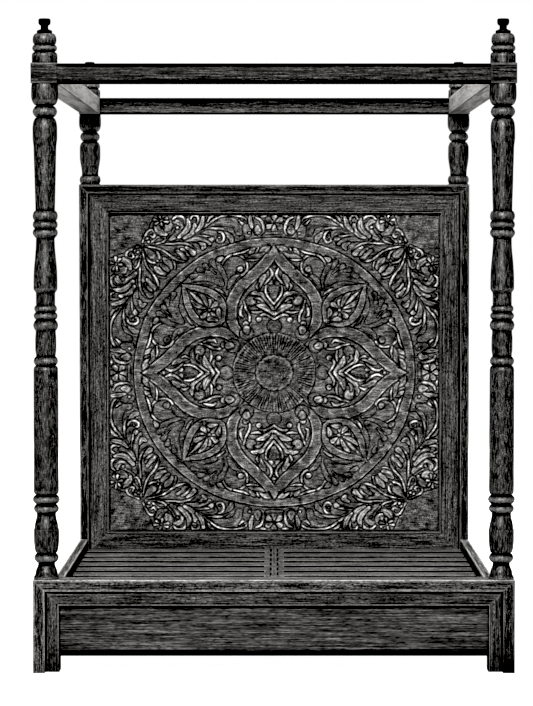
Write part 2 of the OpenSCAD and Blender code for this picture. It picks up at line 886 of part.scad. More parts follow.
foot_leg_left();
foot_leg_right();
foot_cap_rail();
foot_panel();
foot_inner_rail();
foot_moulding_top();
foot_moulding_left();
foot_moulding_right();
head_leg_left();
head_leg_right();
head_cap_rail();
head_bottom_rail();
head_moulding_top();
head_moulding_bottom();
head_moulding_left();
head_moulding_right();
carved_panel();
head_battens();
post_front_left();
post_front_right();
post_back_left();
post_back_right();
canopy_front_rail();
canopy_back_rail();
canopy_side_rail_left();
canopy_side_rail_right();
finial_front_left();
finial_front_right();
finial_back_left();
finial_back_right();
side_rail_left();
side_rail_right();
slat_cleat_left();
slat_cleat_right();
centre_beam();
beam_leg_foot();
beam_leg_middle();
beam_leg_head();
glide_foot();
glide_middle();
glide_head();
beam_hangers();
rail_hook_plates();
leg_slot_plates();
wood_screws();
slat_row(0);  // slat_row_01
slat_row(1);  // slat_row_02
slat_row(2);  // slat_row_03
slat_row(3);  // slat_row_04
slat_row(4);  // slat_row_05
slat_row(5);  // slat_row_06
slat_row(6);  // slat_row_07
slat_row(7);  // slat_row_08
slat_row(8);  // slat_row_09
slat_row(9);  // slat_row_10
slat_row(10);  // slat_row_11
slat_row(11);  // slat_row_12
slat_row(12);  // slat_row_13
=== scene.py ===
import math

import bpy
import numpy as np
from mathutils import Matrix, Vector


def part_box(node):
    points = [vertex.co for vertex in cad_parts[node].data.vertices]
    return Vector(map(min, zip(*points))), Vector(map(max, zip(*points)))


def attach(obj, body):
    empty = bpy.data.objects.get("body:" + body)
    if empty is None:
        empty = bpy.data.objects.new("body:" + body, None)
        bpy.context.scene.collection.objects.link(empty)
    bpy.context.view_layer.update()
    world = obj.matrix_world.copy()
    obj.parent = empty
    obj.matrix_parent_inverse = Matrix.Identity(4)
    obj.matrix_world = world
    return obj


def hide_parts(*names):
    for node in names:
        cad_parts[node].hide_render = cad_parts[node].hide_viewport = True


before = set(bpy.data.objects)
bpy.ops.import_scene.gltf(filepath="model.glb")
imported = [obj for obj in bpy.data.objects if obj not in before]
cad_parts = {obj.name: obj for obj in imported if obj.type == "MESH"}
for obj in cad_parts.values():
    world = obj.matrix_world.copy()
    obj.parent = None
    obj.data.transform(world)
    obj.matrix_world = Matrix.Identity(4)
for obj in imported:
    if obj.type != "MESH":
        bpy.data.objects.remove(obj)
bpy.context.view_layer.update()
MM = 0.001


# ---------------------------------------------------------------- sizes, metres, as in the CAD

HALF_W, HALF_L = 0.820, 1.108
INNER_X, INNER_Y = 0.732, 1.020
POST_X, POST_Y = 0.776, 1.064
FOOT_H, HEAD_H = 0.318, 1.706
CANOPY_Z, CANOPY_TOP = 2.001, 2.070
FOOT_BAND, HEAD_BAND = 0.040, 0.037
FOOT_MOULD, HEAD_MOULD = 0.048, 0.083
FIELD_X, FIELD_LOW, FIELD_TOP = 0.700, 0.240, 1.586
FIELD_MID, FIELD_HALF = (FIELD_LOW + FIELD_TOP) / 2, (FIELD_TOP - FIELD_LOW) / 2
RELIEF = 0.014
GROUND_Y, RIM_Y, PANEL_BACK_Y = 1.060, 1.048, 1.084
FOOT_SET, FOOT_PANEL_T, HEAD_SET = 0.026, 0.024, 0.028  # how far the panels lie behind their frames' faces
HEAD_RAIL_LOW, HEAD_RAIL_TOP = 0.110, 0.228
BATTEN_LEVELS, BATTEN_HALF = (0.560, 1.270), 0.045
RAIL_HALF_X, RAIL_HALF_Z = 0.044, 0.0345
PIN_R, PIN_L, BORE_R, BORE_L = 10, 40, 10.05, 45  # a finial's pin and its bore, mm
SLAT_ROWS, SLAT_W, SLAT_T, SLAT_PITCH, SLAT_0 = 13, 0.095, 0.022, 0.153, 0.9395
SLAT_IN, SLAT_OUT = 0.017, 0.783
DECK_Z, BEAM_X, BEAM_LOW, SPINE_X = 0.174, 0.039, 0.084, 0.0095
SIDES, ENDS = ((-1, "left"), (1, "right")), ((-1, "front"), (1, "back"))

# ---------------------------------------------------------------- camera, lights, floor


def aim(obj, target):
    """Turns a lamp's face towards a point."""
    obj.rotation_euler = (Vector(target) - obj.location).to_track_quat("-Z", "Y").to_euler()


def soft_light(name, at, target, size, watts, shine=True):
    """A rectangular lamp, which shows in no picture; shine says whether it shows in reflections."""
    data = bpy.data.lights.new(name, "AREA")
    data.shape = "RECTANGLE"
    data.size, data.size_y = size
    data.energy = watts
    data.color = (1.0, 0.99, 0.98)
    lamp = bpy.data.objects.new(name, data)
    lamp.location = at
    bpy.context.scene.collection.objects.link(lamp)
    aim(lamp, target)
    lamp.visible_camera = False
    lamp.visible_glossy = shine
    return lamp


def studio():
    """Camera, white surroundings, a soft key light from the front, fills for the other views, floor."""
    scene = bpy.context.scene
    camera_data = bpy.data.cameras.new("camera")
    # fitted to the edges seen in the photograph
    camera_data.sensor_width = 36
    camera_data.lens = 131.5
    camera_data.shift_x = -0.0131
    camera_data.clip_end = 200
    camera = bpy.data.objects.new("camera", camera_data)
    camera.location = (0.0064, -9.829, 1.470)
    camera.rotation_euler = (math.radians(87.51), 0, 0)
    scene.collection.objects.link(camera)
    scene.camera = camera

    scene.view_settings.view_transform = "Standard"
    scene.view_settings.use_curve_mapping = True
    scene.view_settings.curve_mapping.black_level = (0.042, 0.042, 0.042)
    scene.view_settings.curve_mapping.update()
    world = bpy.data.worlds.new("studio")
    scene.world = world
    world.use_nodes = True
    g = Graph(world.node_tree)
    seen = g.add("ShaderNodeBackground", Color=(1, 1, 1, 1), Strength=1.0)
    lit = g.add("ShaderNodeBackground", Color=(0.98, 0.99, 1, 1), Strength=0.04)
    rays = g.add("ShaderNodeLightPath")
    both = g.add("ShaderNodeMixShader", {0: rays.outputs["Is Camera Ray"], 1: lit.outputs[0],
                                         2: seen.outputs[0]})
    g.add("ShaderNodeOutputWorld", Surface=both.outputs[0])

    soft_light("key", (-0.8, -8.6, 5.0), (0, 0.3, 1.0), (4.2, 1.6), 1620)
    soft_light("back_fill", (0.4, 8.0, 3.6), (0, 0, 1.0), (4.5, 3.0), 900, False)
    soft_light("left_fill", (-6.5, 6.5, 3.0), (0, 0, 1.0), (3.0, 3.0), 750, False)
    soft_light("right_fill", (6.5, 6.5, 3.0), (0, 0, 1.0), (3.0, 3.0), 750, False)
    soft_light("top_fill", (0, 0.6, 7.5), (0, 0.2, 0), (3.5, 3.5), 260)

    side = 40.0
    mesh = bpy.data.meshes.new("floor")
    mesh.from_pydata([(-side, -side, 0), (side, -side, 0), (side, side, 0), (-side, side, 0)], [],
                     [(0, 1, 2, 3)])
    floor = bpy.data.objects.new("floor", mesh)
    floor.location.z = -0.0008
    scene.collection.objects.link(floor)
    material, g = new_material("pale_floor")
    matt = g.add("ShaderNodeBsdfDiffuse", Color=(0.45, 0.45, 0.45, 1))
    place = g.add("ShaderNodeTexCoord").outputs["Object"]
    away = g.add("ShaderNodeVectorMath", {0: place}, {"operation": "LENGTH"}).outputs["Value"]
    glow = g.add("ShaderNodeEmission", Color=(1, 1, 1, 1), Strength=g.ramp(away, 2.2, 7.0, 0.97, 1.06))
    bright = g.add("ShaderNodeAddShader", {0: matt.outputs[0], 1: glow.outputs[0]})
    rays = g.add("ShaderNodeLightPath")
    both = g.add("ShaderNodeMixShader", {0: rays.outputs["Is Camera Ray"], 1: matt.outputs[0],
                                         2: bright.outputs[0]})
    g.add("ShaderNodeOutputMaterial", Surface=both.outputs[0])
    mesh.materials.append(material)


# ---------------------------------------------------------------- materials


class Graph:
    """Adds nodes to a tree; keyword and dictionary values are sockets to link or constants to set."""

    def __init__(self, tree):
        self.tree = tree
        tree.nodes.clear()

    def add(self, kind, values=None, settings=None, **named):
        node = self.tree.nodes.new(kind)
        for key, value in (settings or {}).items():
            setattr(node, key, value)
        for key, value in {**(values or {}), **named}.items():
            socket = node.inputs[key.replace("_", " ") if isinstance(key, str) else key]
            if isinstance(value, bpy.types.NodeSocket):
                self.tree.links.new(value, socket)
            else:
                socket.default_value = value
        return node

    def math(self, operation, a, b, clamp=False):
        node = self.add("ShaderNodeMath", {0: a, 1: b}, {"operation": operation, "use_clamp": clamp})
        return node.outputs[0]

    def times(self, a, b, clamp=False):
        return self.math("MULTIPLY", a, b, clamp)

    def plus(self, a, b, clamp=False):
        return self.math("ADD", a, b, clamp)

    def vector(self, operation, a, b):
        return self.add("ShaderNodeVectorMath", {0: a, 1: b}, {"operation": operation}).outputs[0]

    def mix(self, share, a, b, blend="MIX"):
        node = self.add("ShaderNodeMix", {0: share, 6: a, 7: b}, {"data_type": "RGBA", "blend_type": blend})
        return node.outputs[2]

    def ramp(self, value, low, high, to_low=0.0, to_high=1.0):
        node = self.add("ShaderNodeMapRange", {0: value, 1: low, 2: high, 3: to_low, 4: to_high})
        return node.outputs[0]

    def noise(self, vector, scale, detail=3.0, rough=0.55, distortion=0.0):
        node = self.add("ShaderNodeTexNoise", {"Vector": vector, "Scale": scale, "Detail": detail,
                                               "Roughness": rough, "Distortion": distortion})
        return node.outputs[0]

    def attribute(self, name):
        return self.add("ShaderNodeAttribute", None, {"attribute_name": name}).outputs["Fac"]


def new_material(name):
    """A node material and the graph to fill."""
    material = bpy.data.materials.new(name)
    material.use_nodes = True
    return material, Graph(material.node_tree)


def grey(level):
    """A colour of the given linear level, tilted slightly to brown."""
    return (level * 1.008, level, level * 0.9896, 1)


def wood(name, axis, dark, mid, pale, worn=0.20, painted_sheen=0.36, streak=1.0, gloss=0.10, fine=1.0, bump=0.35,
         speck=1.0, run=1.0, polish=0.0, even=0.0):
    """Stained timber whose grain runs along one axis: dark ground, pale open streaks, worn arrises, and
    recesses darkened with dirt and painted shade. It reads four values from the mesh: wear, dirt with painted
    shade, stain with painted light and painted shade, and the share of a paler colour painted for reflected
    light."""
    material, g = new_material(name)
    place = g.add("ShaderNodeTexCoord").outputs["Object"]
    which = g.add("ShaderNodeObjectInfo").outputs["Random"]
    shift = g.add("ShaderNodeCombineXYZ", X=g.times(which, 31.7), Y=g.times(which, 13.1),
                  Z=g.times(which, 57.3))
    placed = g.vector("ADD", place, shift.outputs[0])

    def along(length, width):
        """Coordinates stretched so that a unit cell is length by width, metres."""
        scale = [1 / width] * 3
        scale["XYZ".index(axis)] = 1 / (length * run)
        return g.vector("MULTIPLY", placed, scale)

    wander = g.noise(along(0.9, 0.25), 1.0, 2.0)
    bent = g.vector("ADD", along(0.55, 0.030), wander)
    broad = g.noise(along(0.50, 0.028), 1.0, 3.0, 0.6)
    band = g.noise(bent, 1.0, 4.0, 0.62, 0.4)
    streaks = g.noise(along(0.130, 0.0046), 1.0, 4.0, 0.68)
    fibres = g.noise(along(0.022, 0.0022), 1.0, 3.0, 0.6)
    specks = g.noise(along(0.0090, 0.0044), 1.0, 2.0, 0.75)

    ground = g.ramp(g.plus(g.times(streaks, 0.75), g.times(broad, 0.25)), 0.40, 0.60)
    colour = g.mix(ground, grey(dark), grey(mid))
    lines = g.ramp(streaks, 0.46, 0.62)
    patches = g.ramp(g.plus(g.times(band, 0.65), g.times(broad, 0.35)), 0.33, 0.56, even, 1.0)
    fleck = g.ramp(fibres, 0.36, 0.62, 0.35, 1.25)
    opened = g.times(g.times(lines, patches), g.times(fleck, streak), True)
    colour = g.mix(opened, colour, grey(pale))
    mottle = g.ramp(specks, 0.36, 0.64, 1 - 0.90 * speck, 1 + 0.90 * speck)
    fine_lines = g.ramp(fibres, 0.30, 0.70, 1 - 0.45 * fine, 1 + 0.45 * fine)
    colour = g.mix(1.0, colour, g.times(mottle, fine_lines), "MULTIPLY")

    # painted reflection: a paler grained colour standing for reflected light, where the mesh asks for it
    raw = g.mix(g.ramp(streaks, 0.36, 0.62), grey(painted_sheen * 0.40), grey(painted_sheen))
    raw = g.mix(g.ramp(broad, 0.46, 0.66), raw, grey(painted_sheen * 0.22))
    colour = g.mix(g.attribute("painted_sheen"), colour, raw)

    rubbed = g.times(g.attribute("wear"), g.ramp(g.plus(streaks, specks), 0.82, 1.12, 0.15, 1.0))
    colour = g.mix(rubbed, colour, grey(worn))
    # dirt and painted shade: recesses are pulled towards black
    deep = g.times(g.attribute("dirt_and_shade"), 0.94, True)
    colour = g.mix(deep, colour, grey(dark * 0.25))
    # random stain, painted light and painted shade from the mesh scale the colour
    colour = g.mix(1.0, colour, g.plus(g.attribute("tone"), 1.0), "MULTIPLY")

    height = g.plus(g.times(streaks, 0.6), g.times(fibres, 0.5))
    relief = g.add("ShaderNodeBump", Height=height, Strength=bump, Distance=0.0012)
    rough = g.ramp(g.plus(streaks, fibres), 0.7, 1.3, 0.62 - polish, 0.40 - polish)
    shine = g.times(g.plus(g.attribute("tone"), 1.0, True), g.math("SUBTRACT", 1.0, deep))
    shader = g.add("ShaderNodeBsdfPrincipled", {"Base Color": colour, "Roughness": rough,
                                                "Specular IOR Level": g.times(shine, gloss),
                                                "Normal": relief.outputs[0]})
    g.add("ShaderNodeOutputMaterial", Surface=shader.outputs[0])
    return material


def metal(name):
    """Zinc-plated steel, dulled and lightly stained."""
    material, g = new_material(name)
    place = g.add("ShaderNodeTexCoord").outputs["Object"]
    cloud = g.noise(place, 60.0, 4.0, 0.6)
    scratch = g.noise(g.vector("MULTIPLY", place, (900, 900, 60)), 1.0, 3.0, 0.6)
    colour = g.mix(g.ramp(cloud, 0.35, 0.65), (0.36, 0.37, 0.38, 1), (0.56, 0.56, 0.55, 1))
    colour = g.mix(g.ramp(scratch, 0.60, 0.75), colour, (0.20, 0.17, 0.14, 1))
    bump = g.add("ShaderNodeBump", Height=scratch, Strength=0.25, Distance=0.0003)
    shader = g.add("ShaderNodeBsdfPrincipled", {"Base Color": colour, "Metallic": 1.0,
                                                "Roughness": g.ramp(cloud, 0.3, 0.7, 0.32, 0.55),
                                                "Normal": bump.outputs[0]})
    g.add("ShaderNodeOutputMaterial", Surface=shader.outputs[0])
    return material


# ---------------------------------------------------------------- mesh building


def unit(value):
    """The value held between 0 and 1."""
    return np.clip(value, 0, 1)


def hump(away, width):
    """A round hump of height 1 that falls off within about the width."""
    return np.exp(-(away / width) ** 2)


def ripple(points, size, seed):
    """Smooth noise in -1..1 at each point, with features of about the given size."""
    turn = np.random.default_rng(seed)
    total = np.zeros(len(points))
    for _ in range(7):
        wave = turn.normal(size=3)
        wave *= 2 * math.pi / size * turn.uniform(0.5, 1.3) / np.linalg.norm(wave)
        total += np.sin(points @ wave + turn.uniform(0, 2 * math.pi))
    return total / 4


class Part:
    """Collects vertices, faces and their values for one mesh object."""

    def __init__(self):
        self.co, self.faces, self.values = [], [], {"wear": [], "dirt_and_shade": [], "tone": []}
        self.painted_sheen = []

    def vertices(self, co, wear=0.0, dirt_and_shade=0.0, tone=0.0):
        start = len(self.co)
        self.co.extend(map(tuple, co))
        for key, value in (("wear", wear), ("dirt_and_shade", dirt_and_shade), ("tone", tone)):
            self.values[key].extend(np.broadcast_to(np.asarray(value, float), (len(co),)))
        return start

    def face(self, corners, painted_sheen=0.0):
        self.faces.append(tuple(corners))
        self.painted_sheen.append(painted_sheen)

    def end(self, start, count, flip=False):
        """Closes a ring of vertices with one face."""
        ring = range(start, start + count)
        self.face(ring[::-1] if flip else ring)

    def skin(self, rings, count, flip=False, painted_sheen=None):
        """Joins rings of vertices, each given by its first one, with quads.
        The last argument says at a quad's middle how much of the paler colour painted for reflected light
        shows there."""
        for a, b in zip(rings, rings[1:]):
            for i in range(count):
                j = (i + 1) % count
                quad = (a + i, a + j, b + j, b + i)
                raw = painted_sheen(np.mean([self.co[k] for k in quad], axis=0)) if painted_sheen else 0.0
                self.face(quad[::-1] if flip else quad, raw)

    def build(self, node, look, body="bed", sharp=35, wobble=0.0, name=None):
        """Makes the mesh object, which stands for the CAD node and rides on the body."""
        name = name or f"{node}_wood"
        co = np.array(self.co)
        if wobble:
            for k in range(3):
                co[:, k] += wobble * MM * (ripple(co, 0.35, 100 + k + len(name)) - 0.4 * np.sign(co[:, k]))
        mesh = bpy.data.meshes.new(name)
        mesh.from_pydata(co.tolist(), [], self.faces)
        for key, value in self.values.items():
            mesh.attributes.new(key, "FLOAT", "POINT").data.foreach_set("value", np.array(value, np.float32))
        painted_sheen = mesh.attributes.new("painted_sheen", "FLOAT", "FACE")
        painted_sheen.data.foreach_set("value", np.array(self.painted_sheen, np.float32))
        mesh.validate()
        mesh.polygons.foreach_set("use_smooth", [True] * len(mesh.polygons))
        mesh.set_sharp_from_angle(angle=math.radians(sharp))
        mesh.materials.append(LOOK[look])
        piece = bpy.data.objects.new(name, mesh)
        bpy.context.scene.collection.objects.link(piece)
        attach(piece, body)
        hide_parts(node)


def ease(corners, radius=2.0, fade=7.0):
    """Rounds the corners of a closed outline, metres, and returns rows of u, v, wear, and dirt with painted
    shade.
    Convex corners are worn, concave ones are darkened with dirt and painted shade. radius and fade are in
    millimetres."""
    p = np.array(corners, float)
    area = np.sum(p[:, 0] * np.roll(p[:, 1], -1) - np.roll(p[:, 0], -1) * p[:, 1])
    if area < 0:
        p = p[::-1]
    rows = []
    for before, here, after in zip(np.roll(p, 1, 0), p, np.roll(p, -1, 0)):
        a, b = before - here, after - here
        la, lb = np.linalg.norm(a), np.linalg.norm(b)
        turn = np.cross(-a / la, b / lb)
        if abs(turn) < 0.35:
            rows.append((*here, 0.0, 0.0))
            continue
        r = min(radius * MM, la * 0.3, lb * 0.3)
        worn, dirt_shade = (1.0, 0.0) if turn > 0 else (0.0, 1.0)
        for length, unit, far in ((la, a / la, True), (lb, b / lb, False)):
            reach = r + fade * MM
            points = [(*(here + unit * r), 0.75 * worn, 0.8 * dirt_shade)]
            if length > 2.2 * reach:
                points.append((*(here + unit * reach), 0.0, 0.0))
            if far:
                rows.extend(points[::-1])
                middle = here + (a / la + b / lb) * r * 0.30
                rows.append((*middle, worn, dirt_shade))
            else:
                rows.extend(points)
    return np.array(rows)


def inset_outline(rows, depth):
    """The outline moved inwards by depth, metres."""
    p = rows[:, :2]
    tangent = np.roll(p, -1, 0) - np.roll(p, 1, 0)
    tangent /= np.linalg.norm(tangent, axis=1)[:, None] + 1e-12
    return p + np.column_stack([-tangent[:, 1], tangent[:, 0]]) * depth


ORDER = {"X": (1, 2, 0), "Y": (0, 2, 1), "Z": (0, 1, 2)}


def bar(part, rows, low, high, axis, step=0.12, end=2.0, fade=7.0, end_wear=1.0, tone=None, painted_sheen=None):
    """A straight stick with the outline rows across its axis. low and high are its ends, as numbers or as
    functions of the outline's points, which cuts a mitre. end is the rounding of its end arrises, mm."""
    rows = np.asarray(rows)
    if rows.shape[1] == 2:
        rows = np.column_stack([rows, np.zeros((len(rows), 2))])
    u, v = rows[:, 0], rows[:, 1]
    lo = np.broadcast_to(low(u, v) if callable(low) else low, u.shape)
    hi = np.broadcast_to(high(u, v) if callable(high) else high, u.shape)
    inner = end * MM
    rings = [(lo, inner, end_wear), (lo + inner * 0.3, inner * 0.3, end_wear),
             (lo + inner, 0, 0.7 * end_wear), (lo + inner + fade * MM, 0, 0)]
    count = max(1, int((hi - lo).mean() / step))
    rings += [(lo + (hi - lo) * k / (count + 1), 0, 0) for k in range(1, count + 1)]
    rings += [(hi - inner - fade * MM, 0, 0), (hi - inner, 0, 0.7 * end_wear),
              (hi - inner * 0.3, inner * 0.3, end_wear), (hi, inner, end_wear)]
    starts = []
    for s, depth, worn in rings:
        flat = inset_outline(rows, depth) if depth else rows[:, :2]
        stacked = np.column_stack([flat, s])
        co = np.empty_like(stacked)
        for k, target in enumerate(ORDER[axis]):
            co[:, target] = stacked[:, k]
        wear = 1 - (1 - rows[:, 2]) * (1 - worn)
        starts.append(part.vertices(co, wear, rows[:, 3], tone(co) if tone else 0.0))
    mirrored = axis == "Y"
    part.skin(starts, len(rows), mirrored, painted_sheen)
    part.end(starts[0], len(rows), not mirrored)
    part.end(starts[-1], len(rows), mirrored)


def rectangle(x0, x1, y0, y1, radius=2.0, fade=7.0):
    return ease([(x0, y0), (x1, y0), (x1, y1), (x0, y1)], radius, fade)


def block(part, low, high, axis, radius=2.0, fade=7.0, **more):
    """A rectangular stick between two corners, with eased arrises."""
    a, b = [k for k in range(3) if k != "XYZ".index(axis)]
    c = "XYZ".index(axis)
    bar(part, rectangle(low[a], high[a], low[b], high[b], radius, fade), low[c], high[c], axis, end=radius,
        fade=fade, **more)


def stick(node, low, high, axis, look, slot, radius=2.0, wobble=0.0, **more):
    """A piece that is one rectangular stick."""
    part = Part()
    block(part, low, high, axis, radius, **more)
    part.build(node, look, wobble=wobble)


# ---------------------------------------------------------------- turned work: lists of radius and height, mm

TURN = 12


def swell(t):
    """A hand-turned bead: round, with a slight crest."""
    return 0.78 * math.sin(math.pi * t) + 0.22 * (1 - abs(2 * t - 1))


def bead(low, high, groove, crest):
    return [(groove + (crest - groove) * swell(i / TURN),
             low + (high - low) * (0.55 * i / TURN + 0.225 * (1 - math.cos(math.pi * i / TURN))))
            for i in range(TURN + 1)]


def ogee(low, high, start, end):
    return [(start + (end - start) * (1 - math.cos(math.pi * i / TURN)) / 2, low + (high - low) * i / TURN)
            for i in range(TURN + 1)]


def shoulder(low, high, start, end):
    return [(end + (start - end) * math.cos(math.pi / 2 * i / TURN),
             low + (high - low) * math.sin(math.pi / 2 * i / TURN)) for i in range(TURN + 1)]


def belly(low, high, start, end):
    return [(start + (end - start) * math.sin(math.pi / 2 * i / TURN),
             low + (high - low) * (1 - math.cos(math.pi / 2 * i / TURN))) for i in range(TURN + 1)]


def cup_top(z):
    return (bead(z - 114, z - 73, 28, 41.5) + belly(z - 73, z - 38, 28, 46) + [(46, z - 24)]
            + shoulder(z - 24, z, 46, 43))


def lift(profile, z):
    """A profile drawn from 0, moved up to start at z."""
    return [(radius, z + level) for radius, level in profile]


def front_post(z, top):
    return lift([(43.5, 0), (44, 1.5), (44, 4)] + ogee(4, 16, 44, 38.6) + ogee(20, 51, 38, 29) + [(29, 55)]
                + bead(56, 89, 31, 42) + belly(90, 152, 35, 43.5) + [(43.5, 170), (41.3, 171)]
                + ogee(171, 223, 41.3, 33) + bead(226, 255, 34, 43.4) + bead(256, 288, 35, 46.3)
                + belly(290, 304, 38, 43) + [(41.5, 712)] + shoulder(712, 727, 41.5, 34)
                + bead(729, 758, 34, 41.3) + ogee(759, 786, 33, 35.6) + ogee(818, 845, 35.6, 34)
                + bead(847, 883, 34, 42.4) + bead(884, 910, 33, 40.7) + bead(911, 932, 34, 38.5)
                + [(32.3, 933), (32.3, 973)] + ogee(973, 990, 32.3, 40.2) + [(40, 1022)]
                + ogee(1022, 1160, 40, 31.5) + bead(1166, 1193, 36, 42.6) + bead(1194, 1220, 36.5, 42.4)
                + bead(1221, 1252, 37, 42.3) + [(33, 1254), (33, 1265), (38.4, 1467)]
                + ogee(1467, 1502, 38.4, 41.5) + [(41.5, 1531)] + shoulder(1531, 1569, 41.5, 28),
                z) + cup_top(top)


def back_post(z, top):
    return lift([(43, 0), (42, 2), (40, 5)] + bead(6, 36, 39, 44) + [(34.5, 38), (34.5, 44)]
                + ogee(44, 122, 34.5, 43.2) + [(43.2, 152)] + shoulder(152, 181, 43.2, 28), z) + cup_top(top)


def finial(z):
    return lift([(42, 0), (43, 1.5), (43, 26)] + shoulder(26, 37, 43, 35) + [(35, 40)] + bead(40, 63, 35, 42)
                + belly(63, 78, 32, 40) + shoulder(81, 101, 40, 27) + [(26, 102), (26, 109)]
                + ogee(109, 117, 26, 12.6) + [(12.6, 128)] + belly(128, 140, 13, 20.7) + [(20.7, 144)]
                + shoulder(144, 151, 20.7, 16), z)


def turned(node, profile, x, y, look, seed, body="bed", black_above=9.0, kind="turning"):
    """Spins a profile about the upright line through x, y. Crests come out worn, grooves darkened with dirt
    and painted shade, and the stain is nearly black above the height black_above."""
    step = 4.5
    points = [profile[0]]
    for r, z in profile[1:]:
        r0, z0 = points[-1]
        if math.hypot(r - r0, z - z0) < 0.05:
            continue
        cuts = max(1, math.ceil(math.hypot(r - r0, z - z0) / step))
        points += [(r0 + (r - r0) * k / cuts, z0 + (z - z0) * k / cuts) for k in range(1, cuts + 1)]
    p = np.array(points)
    level = np.arange(p[0, 1], p[-1, 1], 1.0)
    radius = np.interp(level, np.maximum.accumulate(p[:, 1] + np.arange(len(p)) * 1e-6), p[:, 0])
    window = np.ones(31) / 31
    mean = np.convolve(np.pad(radius, 15, "edge"), window, "same")[15:-15]
    proud = p[:, 0] - np.interp(p[:, 1], level, mean)
    wear = 0.6 * unit(proud / 3.2 - 0.25)
    dirt_and_shade = unit(-proud / 2.6 - 0.25)
    count = 72
    angle = np.arange(count) * 2 * math.pi / count
    part = Part()
    starts = []
    for (r, z), w, c in zip(points, wear, dirt_and_shade):
        ring = np.column_stack([r * np.cos(angle), r * np.sin(angle), np.full(count, z)]) * MM
        shrink = 1 - (0.25 + 0.25 * ripple(ring, 0.06, seed)) / r
        ring[:, :2] *= shrink[:, None]
        starts.append(part.vertices(ring + [x, y, 0], w, c, -0.9 if z * MM > black_above else 0.0))
    part.skin(starts, count)
    part.end(starts[0], count, True)
    part.end(starts[-1], count)
    part.build(node, look, body, sharp=48, name=f"{node}_{kind}")


# ---------------------------------------------------------------- frames with mitred bands and mouldings


def outline(rows):
    """Rows of u, v, wear, cavity turned anticlockwise."""
    rows = np.array(rows, float)
    u, v = rows[:, 0], rows[:, 1]
    area = np.sum(u * np.roll(v, -1) - np.roll(u, -1) * v)
    return rows if area > 0 else rows[::-1]


def moulding(width, face, back):
    """Rows of distance in from the outer edge and depth from the face, mm, then wear and the share of dirt
    and painted shade:
    a quirk darkened with painted shade, a shallow cushion, and painted shade before and beside the raised lip
    next to the panel."""
    cushion = [(width * 0.86 * i / 8, face + 3 - 6 * math.sin(math.radians(20 + 70 * i / 8)), 0.12, 0.0)
               for i in range(2, 9)]
    return ([(0.4, back, 0, 1), (0.4, face + 10, 0, 1), (4.6, face + 8, 0, 1), (6.4, face + 2.0, 0.1, 0.35)]
            + cushion + [(width - 6.4, face - 1.6, 0, 0.5), (width - 5.6, face - 0.6, 0, 1),
                         (width - 4.4, face - 3.9, 0.7, 0), (width - 3.6, face - 4.5, 1, 0),
                         (width - 1.6, face - 4.5, 1, 0), (width - 0.5, face - 3.8, 0.9, 0),
                         (width, face - 2.6, 0.5, 0), (width, face + 3, 0, 1), (width, back, 0, 1)])


def level_moulding(node, section, face_y, edge_z, inward, half, look, tone=None):
    """A moulding along X whose outer edge is at edge_z; inward is -1 where it runs down from there."""
    rows = outline([(face_y + depth * MM, edge_z + inward * d * MM, w, c) for d, depth, w, c in section])
    part = Part()

    def reach(u, v):
        return half - np.abs(v - edge_z)
    bar(part, rows, lambda u, v: -reach(u, v), reach, "X", end=0.5, end_wear=0.55, tone=tone)
    part.build(node, look)


def upright_moulding(node, section, face_y, side, edge_x, low, high, look, tone=None):
    rows = outline([(side * (edge_x - d * MM), face_y + depth * MM, w, c) for d, depth, w, c in section])
    part = Part()
    bar(part, rows, low, high, "Z", end=0.5, end_wear=0.55, tone=tone)
    part.build(node, look)


def low_painted_shade(co):
    """Painted shade: darker over the lowest centimetres above the floor."""
    return -0.7 * np.exp(-np.clip(co[:, 2], 0, None) / 0.07)


